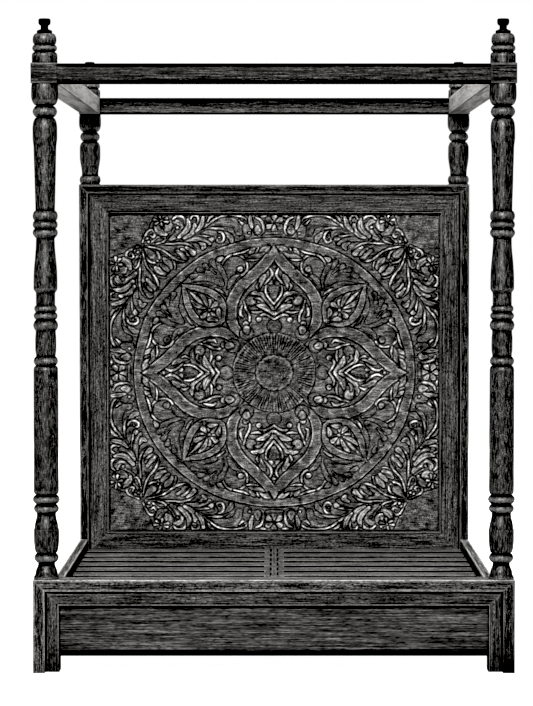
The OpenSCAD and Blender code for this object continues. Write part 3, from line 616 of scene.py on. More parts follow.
def footboard():
    """Legs, cap rail and mouldings with mitred corners, the panel between them and the rail behind it."""
    face, band = -HALF_L, HALF_W - FOOT_BAND
    section = moulding(FOOT_MOULD / MM, 8, FOOT_SET / MM)
    panel_low, panel_top = 0.055, 0.278
    lip = FOOT_H - FOOT_BAND - FOOT_MOULD
    for side, s in SIDES:
        part = Part()
        shape = [(HALF_W, face), (HALF_W, -INNER_Y), (INNER_X, -INNER_Y), (INNER_X, face + FOOT_SET),
                 (band, face + FOOT_SET), (band, face)]
        rows = ease([(side * x, y) for x, y in shape], 2.0, 7.0)
        # painted light on the left leg and painted shade on the right leg, with painted shade near the floor
        shade = 0.55 if side < 0 else -0.30
        bar(part, rows, 0.0, lambda u, v: FOOT_H - np.minimum(HALF_W - np.abs(u), FOOT_BAND), "Z", end=0.6,
            end_wear=0.6, tone=lambda co: shade + low_painted_shade(co))
        part.build(f"foot_leg_{s}", "leg", wobble=0.3)
        upright_moulding(f"foot_moulding_{s}", section, face, side, band, 0.006,
                         lambda u, v: FOOT_H - FOOT_BAND - (band - np.abs(u)), "foot_moulding_z", low_painted_shade)
    part = Part()
    rows = rectangle(face, -INNER_Y, FOOT_H - FOOT_BAND, FOOT_H, 2.2, 8.0)
    # painted light: the cap's top face is made much paler
    bar(part, rows, lambda u, v: -(HALF_W - (FOOT_H - v)), lambda u, v: HALF_W - (FOOT_H - v), "X", end=0.6,
        end_wear=0.6, tone=lambda co: 1.7 * unit((co[:, 2] - FOOT_H + 0.002) / 0.002))
    part.build("foot_cap_rail", "cap", wobble=0.25)
    level_moulding("foot_moulding_top", section, face, FOOT_H - FOOT_BAND, -1, band, "foot_moulding_x")
    front, back = face + FOOT_SET, face + FOOT_SET + FOOT_PANEL_T
    # painted shadow: the panel's top strip under the moulding's lip is darkened
    rows = outline([(front + 0.002, panel_low, 0, 0), (front, 0.0572, 0, 0), (front, 0.071, 0, 0),
                    (front, 0.080, 0, 0), (front, 0.18, 0, 0), (front, lip - 0.009, 0, 0.1),
                    (front, lip - 0.001, 0, 1), (front, panel_top, 0, 1), (back, panel_top, 0, 0),
                    (back, panel_low, 0, 0)])
    part = Part()
    # painted shade: the panel turns near black along its foot and darker beside the side mouldings
    bar(part, rows, -INNER_X, INNER_X, "X", end=0.4, end_wear=0.0, fade=8.0,
        tone=lambda co: (-0.97 * unit((0.080 - co[:, 2]) / 0.008)
                         - 0.4 * unit((np.abs(co[:, 0]) - INNER_X + 0.009) / 0.009)))
    part.build("foot_panel", "panel_x")
    stick("foot_inner_rail", (-INNER_X, back, 0.095), (INNER_X, -INNER_Y, 0.150), "X", "rail_x",
          "charcoal_wood", 2.5)


def headboard_frame():
    """Legs, cap rail and mouldings with mitred corners, the bottom rail and the battens at the back."""
    face, band = INNER_Y, HALF_W - HEAD_BAND
    low_z = FIELD_LOW - HEAD_MOULD
    section = moulding(HEAD_MOULD / MM, 9, HEAD_SET / MM)
    for side, s in SIDES:
        part = Part()
        shape = [(HALF_W, face), (HALF_W, HALF_L), (INNER_X, HALF_L), (INNER_X, face + HEAD_SET),
                 (band, face + HEAD_SET), (band, face)]
        rows = ease([(side * x, y) for x, y in shape], 2.0, 7.0)
        bar(part, rows, HEAD_RAIL_LOW, lambda u, v: HEAD_H - np.minimum(HALF_W - np.abs(u), HEAD_BAND), "Z",
            end=0.6, end_wear=0.6)
        foot = rectangle(*sorted((side * INNER_X, side * HALF_W)), face, HALF_L)
        bar(part, foot, 0.0, HEAD_RAIL_LOW + 0.0005, "Z", end=0.6, end_wear=0.6, tone=low_painted_shade)
        part.build(f"head_leg_{s}", "leg", wobble=0.3)
        upright_moulding(f"head_moulding_{s}", section, face, side, band,
                         lambda u, v: low_z + (band - np.abs(u)),
                         lambda u, v: HEAD_H - HEAD_BAND - (band - np.abs(u)), "moulding_z")
    part = Part()
    rows = rectangle(face, HALF_L, HEAD_H - HEAD_BAND, HEAD_H, 2.2, 8.0)
    bar(part, rows, lambda u, v: -(HALF_W - (HEAD_H - v)), lambda u, v: HALF_W - (HEAD_H - v), "X", end=0.6,
        end_wear=0.6)
    part.build("head_cap_rail", "head_cap", wobble=0.25)
    # painted shade: the top moulding is made darker than the others
    level_moulding("head_moulding_top", section, face, HEAD_H - HEAD_BAND, -1, band, "moulding_x",
                   lambda co: -0.22)
    level_moulding("head_moulding_bottom", section, face, low_z, 1, band, "moulding_x")
    stick("head_bottom_rail", (-INNER_X, face + HEAD_SET, HEAD_RAIL_LOW),
          (INNER_X, face + 0.076, HEAD_RAIL_TOP), "X", "rail_x", "charcoal_wood", 2.5)
    part = Part()
    for level in BATTEN_LEVELS:
        block(part, (-INNER_X + 0.0005, PANEL_BACK_Y, level - BATTEN_HALF),
              (INNER_X - 0.0005, HALF_L, level + BATTEN_HALF), "X", 2.5)
    part.build("head_battens", "rail_x")


# ---------------------------------------------------------------- canopy


def rail_rows(outward, centre, inset):
    """Section of a canopy rail: outward is the sign of the rounded side, centre its middle across."""
    half, high, r, e = RAIL_HALF_X - inset, RAIL_HALF_Z - inset, 0.017, 0.003
    middle = CANOPY_Z + RAIL_HALF_Z
    # the arris between the flat side and the underside is darkened
    rows = [(e * 0.3 - half, e * 0.3 - high, 0, 0.9), (e - half, -high, 0, 0.3),
            (e + 0.006 - half, -high, 0, 0), (half - r - 0.004, -high, 0, 0)]
    rows += [(half - r + r * math.cos(a), r - high + r * math.sin(a), 0.10, 0)
             for a in np.radians(np.arange(-90, 1, 10))]
    rows += [(half - r + r * math.cos(a), high - r + r * math.sin(a), 0.10, 0)
             for a in np.radians(np.arange(0, 91, 10))]
    rows += [(half - r - 0.004, high, 0, 0), (e + 0.006 - half, high, 0, 0), (e - half, high, 0.8, 0),
             (e * 0.3 - half, high - e * 0.3, 1, 0), (-half, high - e, 0.8, 0),
             (-half, high - e - 0.006, 0, 0), (-half, e + 0.006 - high, 0.5, 0), (-half, e - high, 0.8, 0)]
    return outline([(centre + outward * u, middle + v, w, c) for u, v, w, c in rows])


def painted_round_shade(co):
    """Painted shade: a canopy rail's rounded top and bottom edges and its top face are darkened."""
    up = co[:, 2] - CANOPY_Z - RAIL_HALF_Z
    dark = np.where(up > 0, unit((up - 0.015) / 0.010), unit((-up - 0.021) / 0.009))
    return -0.97 * np.where(up > 0.0322, 0.9, dark)


def painted_rail_light(co):
    """Painted light and shade: the canopy's side rails are lighter near the foot and darken towards the
    headboard, most of all underneath.
    """
    along = unit((co[:, 1] + 0.7) / 1.5)
    return np.where(co[:, 2] < CANOPY_Z + 0.0008, 0.20 - 0.75 * along, 0.05 - 0.25 * along)


def bore_down(part, x, y):
    """Opens the bore of a finial's pin in the canopy's top face above x, y: a wall and floor darkened with
    painted shade.
    """
    def holds(corners):
        co = np.array([part.co[k] for k in corners])
        level = co[:, 2].min() > CANOPY_TOP - 0.0001
        return level and co[:, 0].min() < x < co[:, 0].max() and co[:, 1].min() < y < co[:, 1].max()
    at = next(k for k, corners in enumerate(part.faces) if holds(corners))
    square = sorted(part.faces[at], key=lambda k: math.atan2(part.co[k][1] - y, part.co[k][0] - x))
    count = 32
    angle = np.arange(count) * 2 * math.pi / count - 0.75 * math.pi
    rings = []
    # painted shade darkens the bore from 4 mm down
    for depth, dark in ((0, 0), (4, 1), (BORE_L, 1)):
        co = np.column_stack([x + BORE_R * MM * np.cos(angle), y + BORE_R * MM * np.sin(angle),
                              np.full(count, CANOPY_TOP - depth * MM)])
        rings.append(part.vertices(co, 0, dark, -0.9 * dark))
    quarter = count // 4
    for k in range(4):
        arc = [rings[0] + j % count for j in range((k + 1) * quarter, k * quarter - 1, -1)]
        side = [square[k], square[(k + 1) % 4], *arc]
        if k == 0:
            part.faces[at] = tuple(side)
        else:
            part.face(side)
    part.skin(rings, count)
    part.end(rings[-1], count)


def canopy():
    """Front and back rails with the corner blocks and their bores, and the side rails between them."""
    for end, where in ENDS:
        part = Part()
        bar(part, rail_rows(end, end * POST_Y, 0.0015), -INNER_X, INNER_X, "X", end=0.2, end_wear=0,
            tone=painted_round_shade)
        for side in (-1, 1):
            x = sorted((side * (INNER_X - 0.0005), side * HALF_W))
            y = sorted((end * INNER_Y, end * HALF_L))
            block(part, (x[0], y[0], CANOPY_Z), (x[1], y[1], CANOPY_TOP), "X", 2.0, end_wear=0.2)
            bore_down(part, side * POST_X, end * POST_Y)
        part.build(f"canopy_{where}_rail", f"canopy_{where}")
    for side, s in SIDES:
        part = Part()
        # painted reflection: the inner faces and undersides get a paler colour for reflected light; painted
        # light and shade along the rail
        bar(part, rail_rows(side, side * POST_X, 0.0), -INNER_Y, INNER_Y, "Y", end=0.3, end_wear=0,
            tone=painted_rail_light,
            painted_sheen=lambda m: 1.0 if abs(m[0]) < INNER_X + 0.012 or m[2] < CANOPY_Z + 0.0045 else 0.0)
        part.build(f"canopy_side_rail_{s}", "canopy_side")


def posts():
    """Posts and finials. The finials' round tips are stained darker."""
    foot, head, rail, top = (round(z / MM) for z in (FOOT_H, HEAD_H, CANOPY_Z, CANOPY_TOP))
    pin = [(PIN_R - 2, top - PIN_L), (PIN_R, top + 2 - PIN_L), (PIN_R, top + 0.5)]
    tip = CANOPY_TOP + 0.1015
    for side, s in SIDES:
        x = side * POST_X
        turned(f"post_front_{s}", front_post(foot, rail), x, -POST_Y, "post", 20 + side)
        turned(f"post_back_{s}", back_post(head, rail), x, POST_Y, "post_back", 30 + side)
        for end, where in ENDS:
            node = f"finial_{where}_{s}"
            look = "post" if end < 0 else "post_back"
            turned(node, finial(top), x, end * POST_Y, look, 40 + side, node, tip)
            turned(node, pin, x, end * POST_Y, "slat_z", 50 + side, node, kind="pin")


# ---------------------------------------------------------------- bed base


def painted_side_shade(co):
    """Painted shade: slats and beam are pale on top and darkened on their sides, most of all in the slots
    beside the spine.
    """
    side = np.where(np.abs(np.abs(co[:, 0]) - 0.0165) < 0.001, -0.98, -0.95)
    return np.where(co[:, 2] > DECK_Z - 0.0012, 0.0, side)


def base():
    """Side rails and cleats, slats, and the centre beam with its legs."""
    for side, s in SIDES:
        low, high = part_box(f"side_rail_{s}")
        # painted light: the rails' top faces are made paler
        stick(f"side_rail_{s}", low, high, "Y", "side_rail", "charcoal_wood", 2.5, wobble=0.2,
              tone=lambda co: 0.8 * (co[:, 2] > 0.2105))
        low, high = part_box(f"slat_cleat_{s}")
        stick(f"slat_cleat_{s}", low, high, "Y", "slat_y", "slat_wood")
    under = DECK_Z - SLAT_T
    for i in range(SLAT_ROWS):
        y = SLAT_0 - SLAT_PITCH * i
        part = Part()
        for side in (-1, 1):
            x = sorted((side * SLAT_IN, side * SLAT_OUT))
            block(part, (x[0], y - SLAT_W / 2, under), (x[1], y + SLAT_W / 2, DECK_Z), "X", 2.0, 4.0,
                  end_wear=0.1, tone=painted_side_shade)
        part.build(f"slat_row_{i + 1:02d}", "slat_x")
    part = Part()
    low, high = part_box("centre_beam")
    block(part, (-BEAM_X, low[1], BEAM_LOW), (BEAM_X, high[1], under), "Y", 2.0, end_wear=0.2,
          tone=painted_side_shade)
    block(part, (-SPINE_X, low[1], under - 0.001), (SPINE_X, high[1], DECK_Z), "Y", 1.0, end_wear=0.2,
          tone=painted_side_shade)
    edges = [high[1]]
    for i in range(SLAT_ROWS):
        y = SLAT_0 - SLAT_PITCH * i
        edges += [y + SLAT_W / 2 + 0.0015, y - SLAT_W / 2 - 0.0015]
    edges.append(low[1])
    for top, bottom in zip(edges[::2], edges[1::2]):
        block(part, (-BEAM_X, bottom, under - 0.001), (BEAM_X, top, DECK_Z - 0.0004), "Y", 1.0, end_wear=0.2,
              tone=painted_side_shade)
    part.build("centre_beam", "slat_y")
    for where in ("foot", "middle", "head"):
        low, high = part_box(f"beam_leg_{where}")
        stick(f"beam_leg_{where}", low, (high[0], high[1], BEAM_LOW), "Z", "slat_z", "slat_wood", 3.0)


def fittings():
    """The steel parts keep their CAD shape and get a material."""
    for node in ("glide_foot", "glide_middle", "glide_head", "beam_hangers", "rail_hook_plates",
                 "leg_slot_plates", "wood_screws"):
        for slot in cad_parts[node].material_slots:
            slot.material = LOOK["steel"]


# ---------------------------------------------------------------- carved relief
# One eighth of the field, drawn as strokes on a unit square and mirrored into the rest.
# x is the distance from the nearer axis of the field, y the distance along it; 1 is the field's edge.
# The strokes follow the photographed leaves. Their points and widths are in thousandths.

CELLS = 1000
MOST_TRIANGLES = 178000
GROUND, FLAT_CORNER, BOSS, BAND = 0.40, 0.52, 0.66, 0.70  # heights, as shares of RELIEF
QUIRK = 0.0125  # width of the cut round a shape
RING, RING_HALF, ROSETTE = 0.819, 0.029, 0.250  # radii, and half the ring's width
FULLER, FINER, WIDE = 1.22, 0.85, 12.5  # strokes over WIDE are cut fuller than drawn, the others finer
SHAPES = {
    "round": lambda q: np.sqrt(unit(1 - q * q)),
    "flat": lambda q: unit((1 - q) * 7) ** 0.6 * (0.86 + 0.32 * hump(q - 0.84, 0.09)),
    "vein": lambda q: np.sqrt(unit(1 - q * q)) * (1 - 0.42 * hump(q, 0.22)),
    "cupped": lambda q: np.sqrt(unit(1 - q * q)) * (1 - 0.34 * hump(q, 0.42)),
}


def spline(points, widths):
    """Points and half-widths along a smooth curve through the given points."""
    step = 0.004
    p = np.column_stack([np.array(points, float), np.interp(np.linspace(0, 1, len(points)),
                                                            np.linspace(0, 1, len(widths)), widths)])
    if len(p) == 2:
        p = np.vstack([p[0], (p[0] + p[1]) / 2, p[1]])
    ends = np.vstack([2 * p[0] - p[1], p, 2 * p[-1] - p[-2]])
    out = []
    for a, b, c, d in zip(ends, ends[1:], ends[2:], ends[3:]):
        n = max(3, int(math.hypot(*(c - b)[:2]) / step))
        t = np.linspace(0, 1, n, endpoint=False)[:, None]
        out.append(0.5 * (2 * b + (c - a) * t + (2 * a - 5 * b + 4 * c - d) * t ** 2
                          + (3 * b - a - 3 * c + d) * t ** 3))
    return np.vstack(out + [p[-1:]])


def raise_shape(part, beside, q, high, kind):
    """Cuts a dark quirk round a shape, then lifts the inside of it. beside is the distance outside it."""
    reach = QUIRK * (1.45 if kind == "flat" else 1)
    quirk = (beside >= 0) & (beside < reach)
    part[quirk] = np.minimum(part, unit(beside / reach) ** 2.2)[quirk]
    inside = beside < 0
    part[inside] = np.maximum(part * 0.3, high * SHAPES[kind](unit(q)))[inside]


def stroke(field, points, widths, high=1.0, kind="round"):
    """Raises the field to a stroke through the points, with the given half-widths, all in thousandths."""
    path = spline(np.array(points) / 1000, np.array(widths) / 1000)
    wide = max(widths) > WIDE
    path[:, 2] *= FULLER if wide else FINER
    if wide and kind == "round":
        kind = "cupped"
    reach = path[:, 2].max() + 1.5 * QUIRK
    x0, y0 = path[:, 0].min() - reach, path[:, 1].min() - reach
    x1, y1 = path[:, 0].max() + reach, path[:, 1].max() + reach
    i0, i1 = max(0, int(x0 * CELLS)), min(CELLS, int(x1 * CELLS) + 2)
    j0, j1 = max(0, int(y0 * CELLS)), min(CELLS, int(y1 * CELLS) + 2)
    if i0 >= i1 or j0 >= j1:
        return
    gx = (np.arange(i0, i1) / CELLS)[None, :]
    gy = (np.arange(j0, j1) / CELLS)[:, None]
    q = np.full((j1 - j0, i1 - i0), 9.0)
    beside = q.copy()
    for x, y, w in path:
        if w > 0:
            away = np.hypot(gx - x, gy - y)
            np.minimum(q, away / w, out=q)
            np.minimum(beside, away - w, out=beside)
    raise_shape(field[j0:j1, i0:i1], beside, q, high, kind)


def ball(field, x, y, r, high=1.0):
    """A berry, as a stroke with next to no length."""
    stroke(field, [(x, y), (x + 1, y)], [r, r], high)


def pair(field, points, widths, high, kind="round"):
    """A stroke and its twin across the diagonal."""
    stroke(field, points, widths, high, kind)
    stroke(field, [(b, a) for a, b in points], widths, high, kind)


def petals(field, x, y, turns, near, far, widths, high):
    """Strokes away from a point; near and far are the ends' distances along x and along y."""
    for angle in np.radians(turns):
        dx, dy = math.cos(angle), math.sin(angle)
        points = [(x + reach[0] * dx, y + reach[1] * dy) for reach in (near, far)]
        stroke(field, points, widths, high)


def carve_bands(f):
    """Plain corners, the ring, and the bands of the petals and the almonds."""
    y, x = np.mgrid[0:CELLS, 0:CELLS] / CELLS
    r = np.hypot(x, y)
    f[:] = GROUND
    # corners outside the spray stay as a roughened flat
    inwards = (0.80 - 0.4 * (y - 0.80) - x) / 1.08
    raise_shape(f, inwards, 0 * x, FLAT_CORNER, "round")
    # knife marks fan out over them from the spray's root
    fan = np.sin(46 * np.arctan2(y - 0.76, x - 0.76) + 8 * x) + 0.6 * np.sin(31 * (x - y) + 40 * r)
    flat = f > 0.50
    f[flat] -= 0.07 * unit(fan[flat] - 0.25)
    across = abs(r - RING)
    raise_shape(f, across - RING_HALF, across / RING_HALF, BAND, "flat")
    # the round petal on the axis, with a pointed tip
    stroke(f, [(-50, 690), (0, 750), (50, 692), (100, 637), (152, 590), (198, 545), (234, 490), (256, 430),
               (261, 370), (255, 320), (235, 275), (200, 245)], [26, 27, 29, 30, 29, 26, 21], BAND, "flat")
    point = np.maximum(x - 0.55 * (0.800 - y), y - 0.80)
    level = (y > 0.735) & (point < 0)
    f[level] = BAND
    near_point = (y > 0.745) & (point >= 0) & (point < QUIRK)
    f[near_point] = 0.1
    # the almond on the diagonal
    stroke(f, [(560, 560), (500, 538), (450, 529), (400, 512), (355, 486), (325, 452), (310, 415), (310, 370),
               (315, 330)], [4, 15, 16, 17, 17, 16, 14], BAND, "flat")


def carve_rosette(f):
    """The boss's outline in the board."""
    y, x = np.mgrid[0:CELLS, 0:CELLS] / CELLS
    r = np.hypot(x, y)
    raise_shape(f, r - ROSETTE, 0 * r, BOSS, "round")
    # its face is a finer mesh of its own, so the board is cut away behind it
    f[r < ROSETTE - 0.006] = 0


def carve_petal_spray(f):
    """Leaves, curls and berries inside the round petal."""
    ball(f, 0, 292, 34, 0.78)
    # low pair of curls, each ending in a berry
    stroke(f, [(0, 332), (30, 352), (60, 364), (82, 355), (92, 338)], [8, 10, 8], 0.9)
    ball(f, 92, 333, 14)
    # low leaf with a round hollow under its tip
    ball(f, 122, 410, 26, 0.72)
    stroke(f, [(70, 384), (100, 376), (140, 381)], [5, 10, 5], 1.0)
    stroke(f, [(5, 366), (30, 392), (62, 412), (100, 420)], [7, 15, 17, 6], 1.0, "vein")
    # high pair of leaves, each curling round a large berry
    stroke(f, [(6, 396), (22, 432), (48, 468), (82, 492), (118, 500), (142, 490)], [6, 12, 15, 15, 11, 6],
           1.0, "vein")
    stroke(f, [(150, 484), (166, 462), (170, 436)], [6, 8, 5], 0.85)
    ball(f, 138, 450, 26, 1.0)
    stroke(f, [(66, 446), (90, 466), (112, 462)], [6, 12, 6], 0.7)
    # shield in a pointed frame, two berries on it, and its leaves towards the tip
    stroke(f, [(0, 476), (0, 526)], [14, 26], 0.64)
    stroke(f, [(0, 430), (22, 458), (42, 488), (50, 520), (46, 548)], [9, 9, 8, 8, 5], 1.0)
    ball(f, 19, 565, 13, 1.0)
    stroke(f, [(24, 655), (13, 625), (23, 596), (48, 568), (70, 548)], [6, 12, 10, 10, 5], 1.0)
    stroke(f, [(54, 616), (66, 596), (80, 566), (84, 532)], [5, 15, 14, 6], 0.88)
    stroke(f, [(96, 560), (104, 542), (92, 516)], [5, 10, 5], 0.82)
    ball(f, 0, 668, 12, 0.72)
    # looped stem, berry and cup beside the band's foot
    stroke(f, [(183, 450), (172, 405), (154, 368), (148, 335), (160, 312)], [7, 10, 10, 9], 0.9)
    stroke(f, [(192, 424), (202, 392), (204, 364), (188, 350)], [5, 12, 12, 5], 0.92)
    ball(f, 174, 306, 15)
    ball(f, 168, 248, 34, 0.78)
    stroke(f, [(170, 272), (168, 256)], [21, 13], 1.0)
    # the bands of two petals meet at a cut on the diagonal
    y, x = np.mgrid[0:CELLS, 0:CELLS] / CELLS
    apart = np.abs(y - x) / math.sqrt(2)
    meeting = (apart < QUIRK) & (x > 0.17) & (x < 0.27)
    f[meeting] = np.minimum(f, unit(apart / QUIRK) ** 1.6)[meeting]


def carve_almond(f):
    """Daisy and pointed leaves inside the almond."""
    for far, turns in ((55, (0, 90, -45, 135)), (58, (-90, 180)), (50, (-135,))):
        petals(f, 392, 392, turns, (14, 14), (far, far), [5, 14], 0.95)
    ball(f, 392, 392, 12, 0.8)
    pair(f, [(410, 410), (460, 465), (505, 505)], [5, 13, 4], 0.9, "vein")
    pair(f, [(405, 420), (425, 470), (455, 500)], [5, 13, 4], 0.9, "vein")
    pair(f, [(345, 328), (380, 337), (400, 333)], [5, 13, 4], 0.9, "vein")


def carve_spandrel(f):
    """Volute with feathered leaves between the petal, the almond and the ring."""
    stroke(f, [(318, 665), (300, 705), (270, 733), (237, 741), (200, 732), (172, 705), (162, 665), (172, 632),
               (197, 613), (222, 625), (222, 648)], [7, 8, 9, 9, 9, 9, 8, 7], 0.96)
    ball(f, 205, 649, 16)
    # feathers running to the petal's tip
    stroke(f, [(22, 792), (55, 775), (95, 748)], [3, 17, 5], 0.98)
    stroke(f, [(92, 785), (105, 763), (115, 745)], [4, 10, 4], 0.9)
    stroke(f, [(118, 780), (134, 762), (150, 738)], [4, 13, 4], 0.98)
    stroke(f, [(152, 772), (180, 757), (215, 748), (245, 741)], [3, 9, 8, 7], 1.0)
    stroke(f, [(60, 752), (85, 735), (125, 727), (160, 712)], [4, 10, 14, 8], 0.8)
    stroke(f, [(95, 712), (130, 705), (165, 708)], [4, 9, 7], 0.9)
    # jagged leaf between the almond and the ring
    stroke(f, [(290, 490), (308, 550), (325, 610), (336, 660), (340, 705)], [8, 26, 30, 20, 4], 0.62, "vein")
    stroke(f, [(318, 560), (370, 612), (430, 618), (490, 592), (545, 566)], [14, 34, 32, 20, 4], 0.58, "vein")
    for px, py, qx, qy in ((352, 655, 372, 694), (390, 650, 414, 668), (425, 640, 452, 646),
                           (465, 615, 494, 606)):
        stroke(f, [(px, py), (qx, qy)], [6, 13], 0.7)
    stroke(f, [(352, 623), (386, 652)], [4, 7, 4], 0.98)
    stroke(f, [(310, 722), (330, 708)], [5, 14], 0.9)
    stroke(f, [(300, 495), (325, 515), (352, 530)], [4, 10, 4], 0.75)
    stroke(f, [(215, 612), (242, 598), (262, 570), (280, 530)], [4, 12, 14, 4], 0.62)


def carve_corner(f):
    """Acanthus spray rooted near the corner; strokes beside the diagonal are drawn with their twins."""
    # leaf on the diagonal
    pair(f, [(690, 765), (655, 745), (620, 715), (600, 680), (597, 655)], [6, 10, 10, 9, 6], 0.92)
    stroke(f, [(700, 700), (655, 665)], [32, 26], 0.68)
    pair(f, [(660, 715), (640, 690), (625, 662)], [9, 19, 14], 0.98)
    stroke(f, [(680, 680), (655, 655), (640, 640)], [8, 13, 9], 0.9)
    # teardrop heart in its loop, over the leaf's root
    stroke(f, [(785, 785), (736, 736)], [8, 21], 0.92)
    pair(f, [(795, 802), (765, 792), (730, 778), (699, 750), (690, 718), (702, 702)], [5, 7, 8, 9, 9, 9], 1.0)
    # big leaf towards the ring, with curled fingers
    stroke(f, [(770, 797), (700, 795), (620, 785), (560, 765)], [8, 20, 34, 30], 0.7, "vein")
    stroke(f, [(785, 803), (700, 808), (620, 808), (560, 812), (510, 797), (475, 768)],
           [5, 7, 8, 9, 10, 7], 0.94)
    stroke(f, [(780, 797), (700, 778), (655, 757), (610, 722), (565, 702), (530, 708), (517, 730)],
           [5, 7, 8, 9, 10, 10, 9], 0.92)
    stroke(f, [(590, 765), (555, 748), (537, 730)], [7, 15, 19], 0.95)
    stroke(f, [(560, 775), (530, 762), (512, 748)], [6, 10, 16], 1.0)
    stroke(f, [(530, 785), (505, 768), (486, 748)], [6, 10, 16], 1.0)
    # eye-shaped loop and small scroll near the root
    stroke(f, [(775, 806), (735, 822), (705, 850), (675, 855), (655, 843), (668, 822), (710, 808)],
           [8, 9, 8, 8, 8, 8, 6], 0.9)
    stroke(f, [(795, 820), (780, 850), (762, 885), (735, 895), (717, 875), (727, 850), (745, 858)],
           [7, 8, 9, 10, 10, 9, 7], 0.92)
    ball(f, 765, 840, 12)
    ball(f, 757, 822, 10)
    stroke(f, [(655, 868), (690, 885), (710, 915)], [10, 19, 14], 0.9, "vein")
    stroke(f, [(655, 893), (640, 905), (643, 930)], [6, 14, 29], 0.98)
    # daisy at the edge
    petals(f, 683, 955, (8, 80, 150, 195, 262, 318), (18, 16), (40, 32), [5, 11.5], 1.0)
    # upright leaves along the edge
    stroke(f, [(640, 845), (615, 862), (602, 895)], [7, 14, 9], 0.95, "vein")
    stroke(f, [(625, 835), (585, 870), (565, 915), (580, 945), (600, 950)], [10, 19, 18, 14, 12], 0.8, "vein")
    ball(f, 586, 912, 11, 0.9)
    stroke(f, [(612, 965), (590, 984), (560, 982), (537, 962), (535, 930)], [8, 11, 12, 12, 8], 0.97)
    stroke(f, [(575, 850), (540, 880), (518, 920), (521, 965)], [10, 16, 15, 8], 0.95, "vein")
    stroke(f, [(545, 842), (505, 865), (482, 900), (479, 930)], [8, 13, 14, 11], 0.88, "vein")
    stroke(f, [(503, 968), (490, 987), (466, 984), (456, 960), (462, 940)], [8, 10, 11, 10, 6], 0.97)
    stroke(f, [(470, 885), (440, 925), (428, 975)], [6, 13, 10], 0.85, "vein")
    stroke(f, [(400, 950), (385, 975), (355, 992)], [6, 12, 5], 0.8)


def carve_plume(f):
    """The arching plume over the ring and the curls under it."""
    stroke(f, [(600, 822), (530, 838), (470, 870), (410, 918), (350, 952), (280, 958), (225, 930),
               (213, 880)], [6, 10, 14, 22, 30, 32, 28, 18], 0.7, "vein")
    stroke(f, [(500, 845), (450, 885), (400, 932), (340, 973), (280, 988), (220, 985), (175, 970),
               (158, 948)], [6, 9, 9, 9, 9, 9, 9, 7], 0.97)
    stroke(f, [(163, 925), (190, 934), (213, 957)], [11, 12, 5], 1.0)
    stroke(f, [(165, 905), (165, 870)], [22, 20], 0.45)
    ball(f, 152, 877, 10, 0.9)
    stroke(f, [(520, 845), (450, 878), (390, 903), (335, 905), (298, 890), (278, 867)], [5, 8, 10, 12, 12, 7],
           0.98)
    stroke(f, [(335, 885), (300, 875), (265, 850), (258, 826)], [6, 10, 14, 10], 0.85)
    stroke(f, [(355, 885), (318, 880), (303, 848), (316, 820), (340, 823), (345, 845), (330, 850)],
           [8, 9, 10, 10, 9, 8, 7], 0.95)
    stroke(f, [(440, 870), (395, 880), (360, 872), (362, 850)], [8, 14, 15, 12], 0.8)
    ball(f, 377, 836, 15, 0.98)
    stroke(f, [(530, 840), (470, 857), (430, 856), (392, 855)], [5, 10, 10, 6], 1.0)
    stroke(f, [(560, 828), (480, 835), (430, 825), (385, 806)], [6, 14, 16, 8], 0.75, "vein")
    stroke(f, [(450, 812), (420, 795), (430, 775)], [6, 13, 8], 0.9)


def carve_edge_group(f):
    """Daisy, commas and leaf on the field's axis."""
    petals(f, 0, 938, (90, 33, -30, -90), (12, 12), (43, 43), [5, 15], 0.97)
    stroke(f, [(50, 985), (75, 980), (100, 972)], [6, 11, 6], 0.97)
    stroke(f, [(108, 975), (83, 962), (68, 930), (67, 895), (83, 872), (105, 872), (118, 890)],
           [8, 11, 12, 12, 12, 11, 9], 0.9)
    stroke(f, [(100, 925), (102, 893)], [5, 21], 1.0)
    stroke(f, [(145, 985), (142, 945), (133, 905)], [8, 13, 6], 0.9, "vein")
    stroke(f, [(0, 877), (45, 877)], [10, 10], 0.5)


def eighth():
    f = np.zeros((CELLS, CELLS))
    carve_bands(f)
    carve_rosette(f)
    carve_petal_spray(f)
    carve_almond(f)
    carve_spandrel(f)
    carve_plume(f)
    carve_corner(f)
    carve_edge_group(f)
    return f


def between(values, gx, gy):
    """Bilinear lookup of a grid of values at fractional columns and rows."""
    gx, gy = np.clip(gx, 0, values.shape[1] - 1.001), np.clip(gy, 0, values.shape[0] - 1.001)
    i, j = gx.astype(int), gy.astype(int)
    fx, fy = gx - i, gy - j
    return ((values[j, i] * (1 - fx) + values[j, i + 1] * fx) * (1 - fy)
            + (values[j + 1, i] * (1 - fx) + values[j + 1, i + 1] * fx) * fy)


def blur(field, radius):
    """A box average, taken twice."""
    for _ in range(2):
        for axis in (0, 1):
            pad = [(radius + 1, radius) if k == axis else (0, 0) for k in (0, 1)]
            total = np.cumsum(np.pad(field, pad, "edge"), axis)
            size = field.shape[axis]
            high = np.take(total, range(2 * radius + 1, 2 * radius + 1 + size), axis)
            low = np.take(total, range(size), axis)
            field = (high - low) / (2 * radius + 1)
    return field


def lattice(shape, cell, seed):
    """Smooth noise in 0..1 over a grid, with features of cell grid steps."""
    nz, nx = shape
    coarse = np.random.default_rng(seed).random((int(nz / cell) + 3, int(nx / cell) + 3))
    z, x = np.arange(nz) / cell, np.arange(nx) / cell
    j, i = z.astype(int), x.astype(int)
    fz, fx = (z - j)[:, None], (x - i)[None, :]
    fz, fx = fz * fz * (3 - 2 * fz), fx * fx * (3 - 2 * fx)
    top = coarse[np.ix_(j, i)] * (1 - fx) + coarse[np.ix_(j, i + 1)] * fx
    low = coarse[np.ix_(j + 1, i)] * (1 - fx) + coarse[np.ix_(j + 1, i + 1)] * fx
    return top * (1 - fz) + low * fz


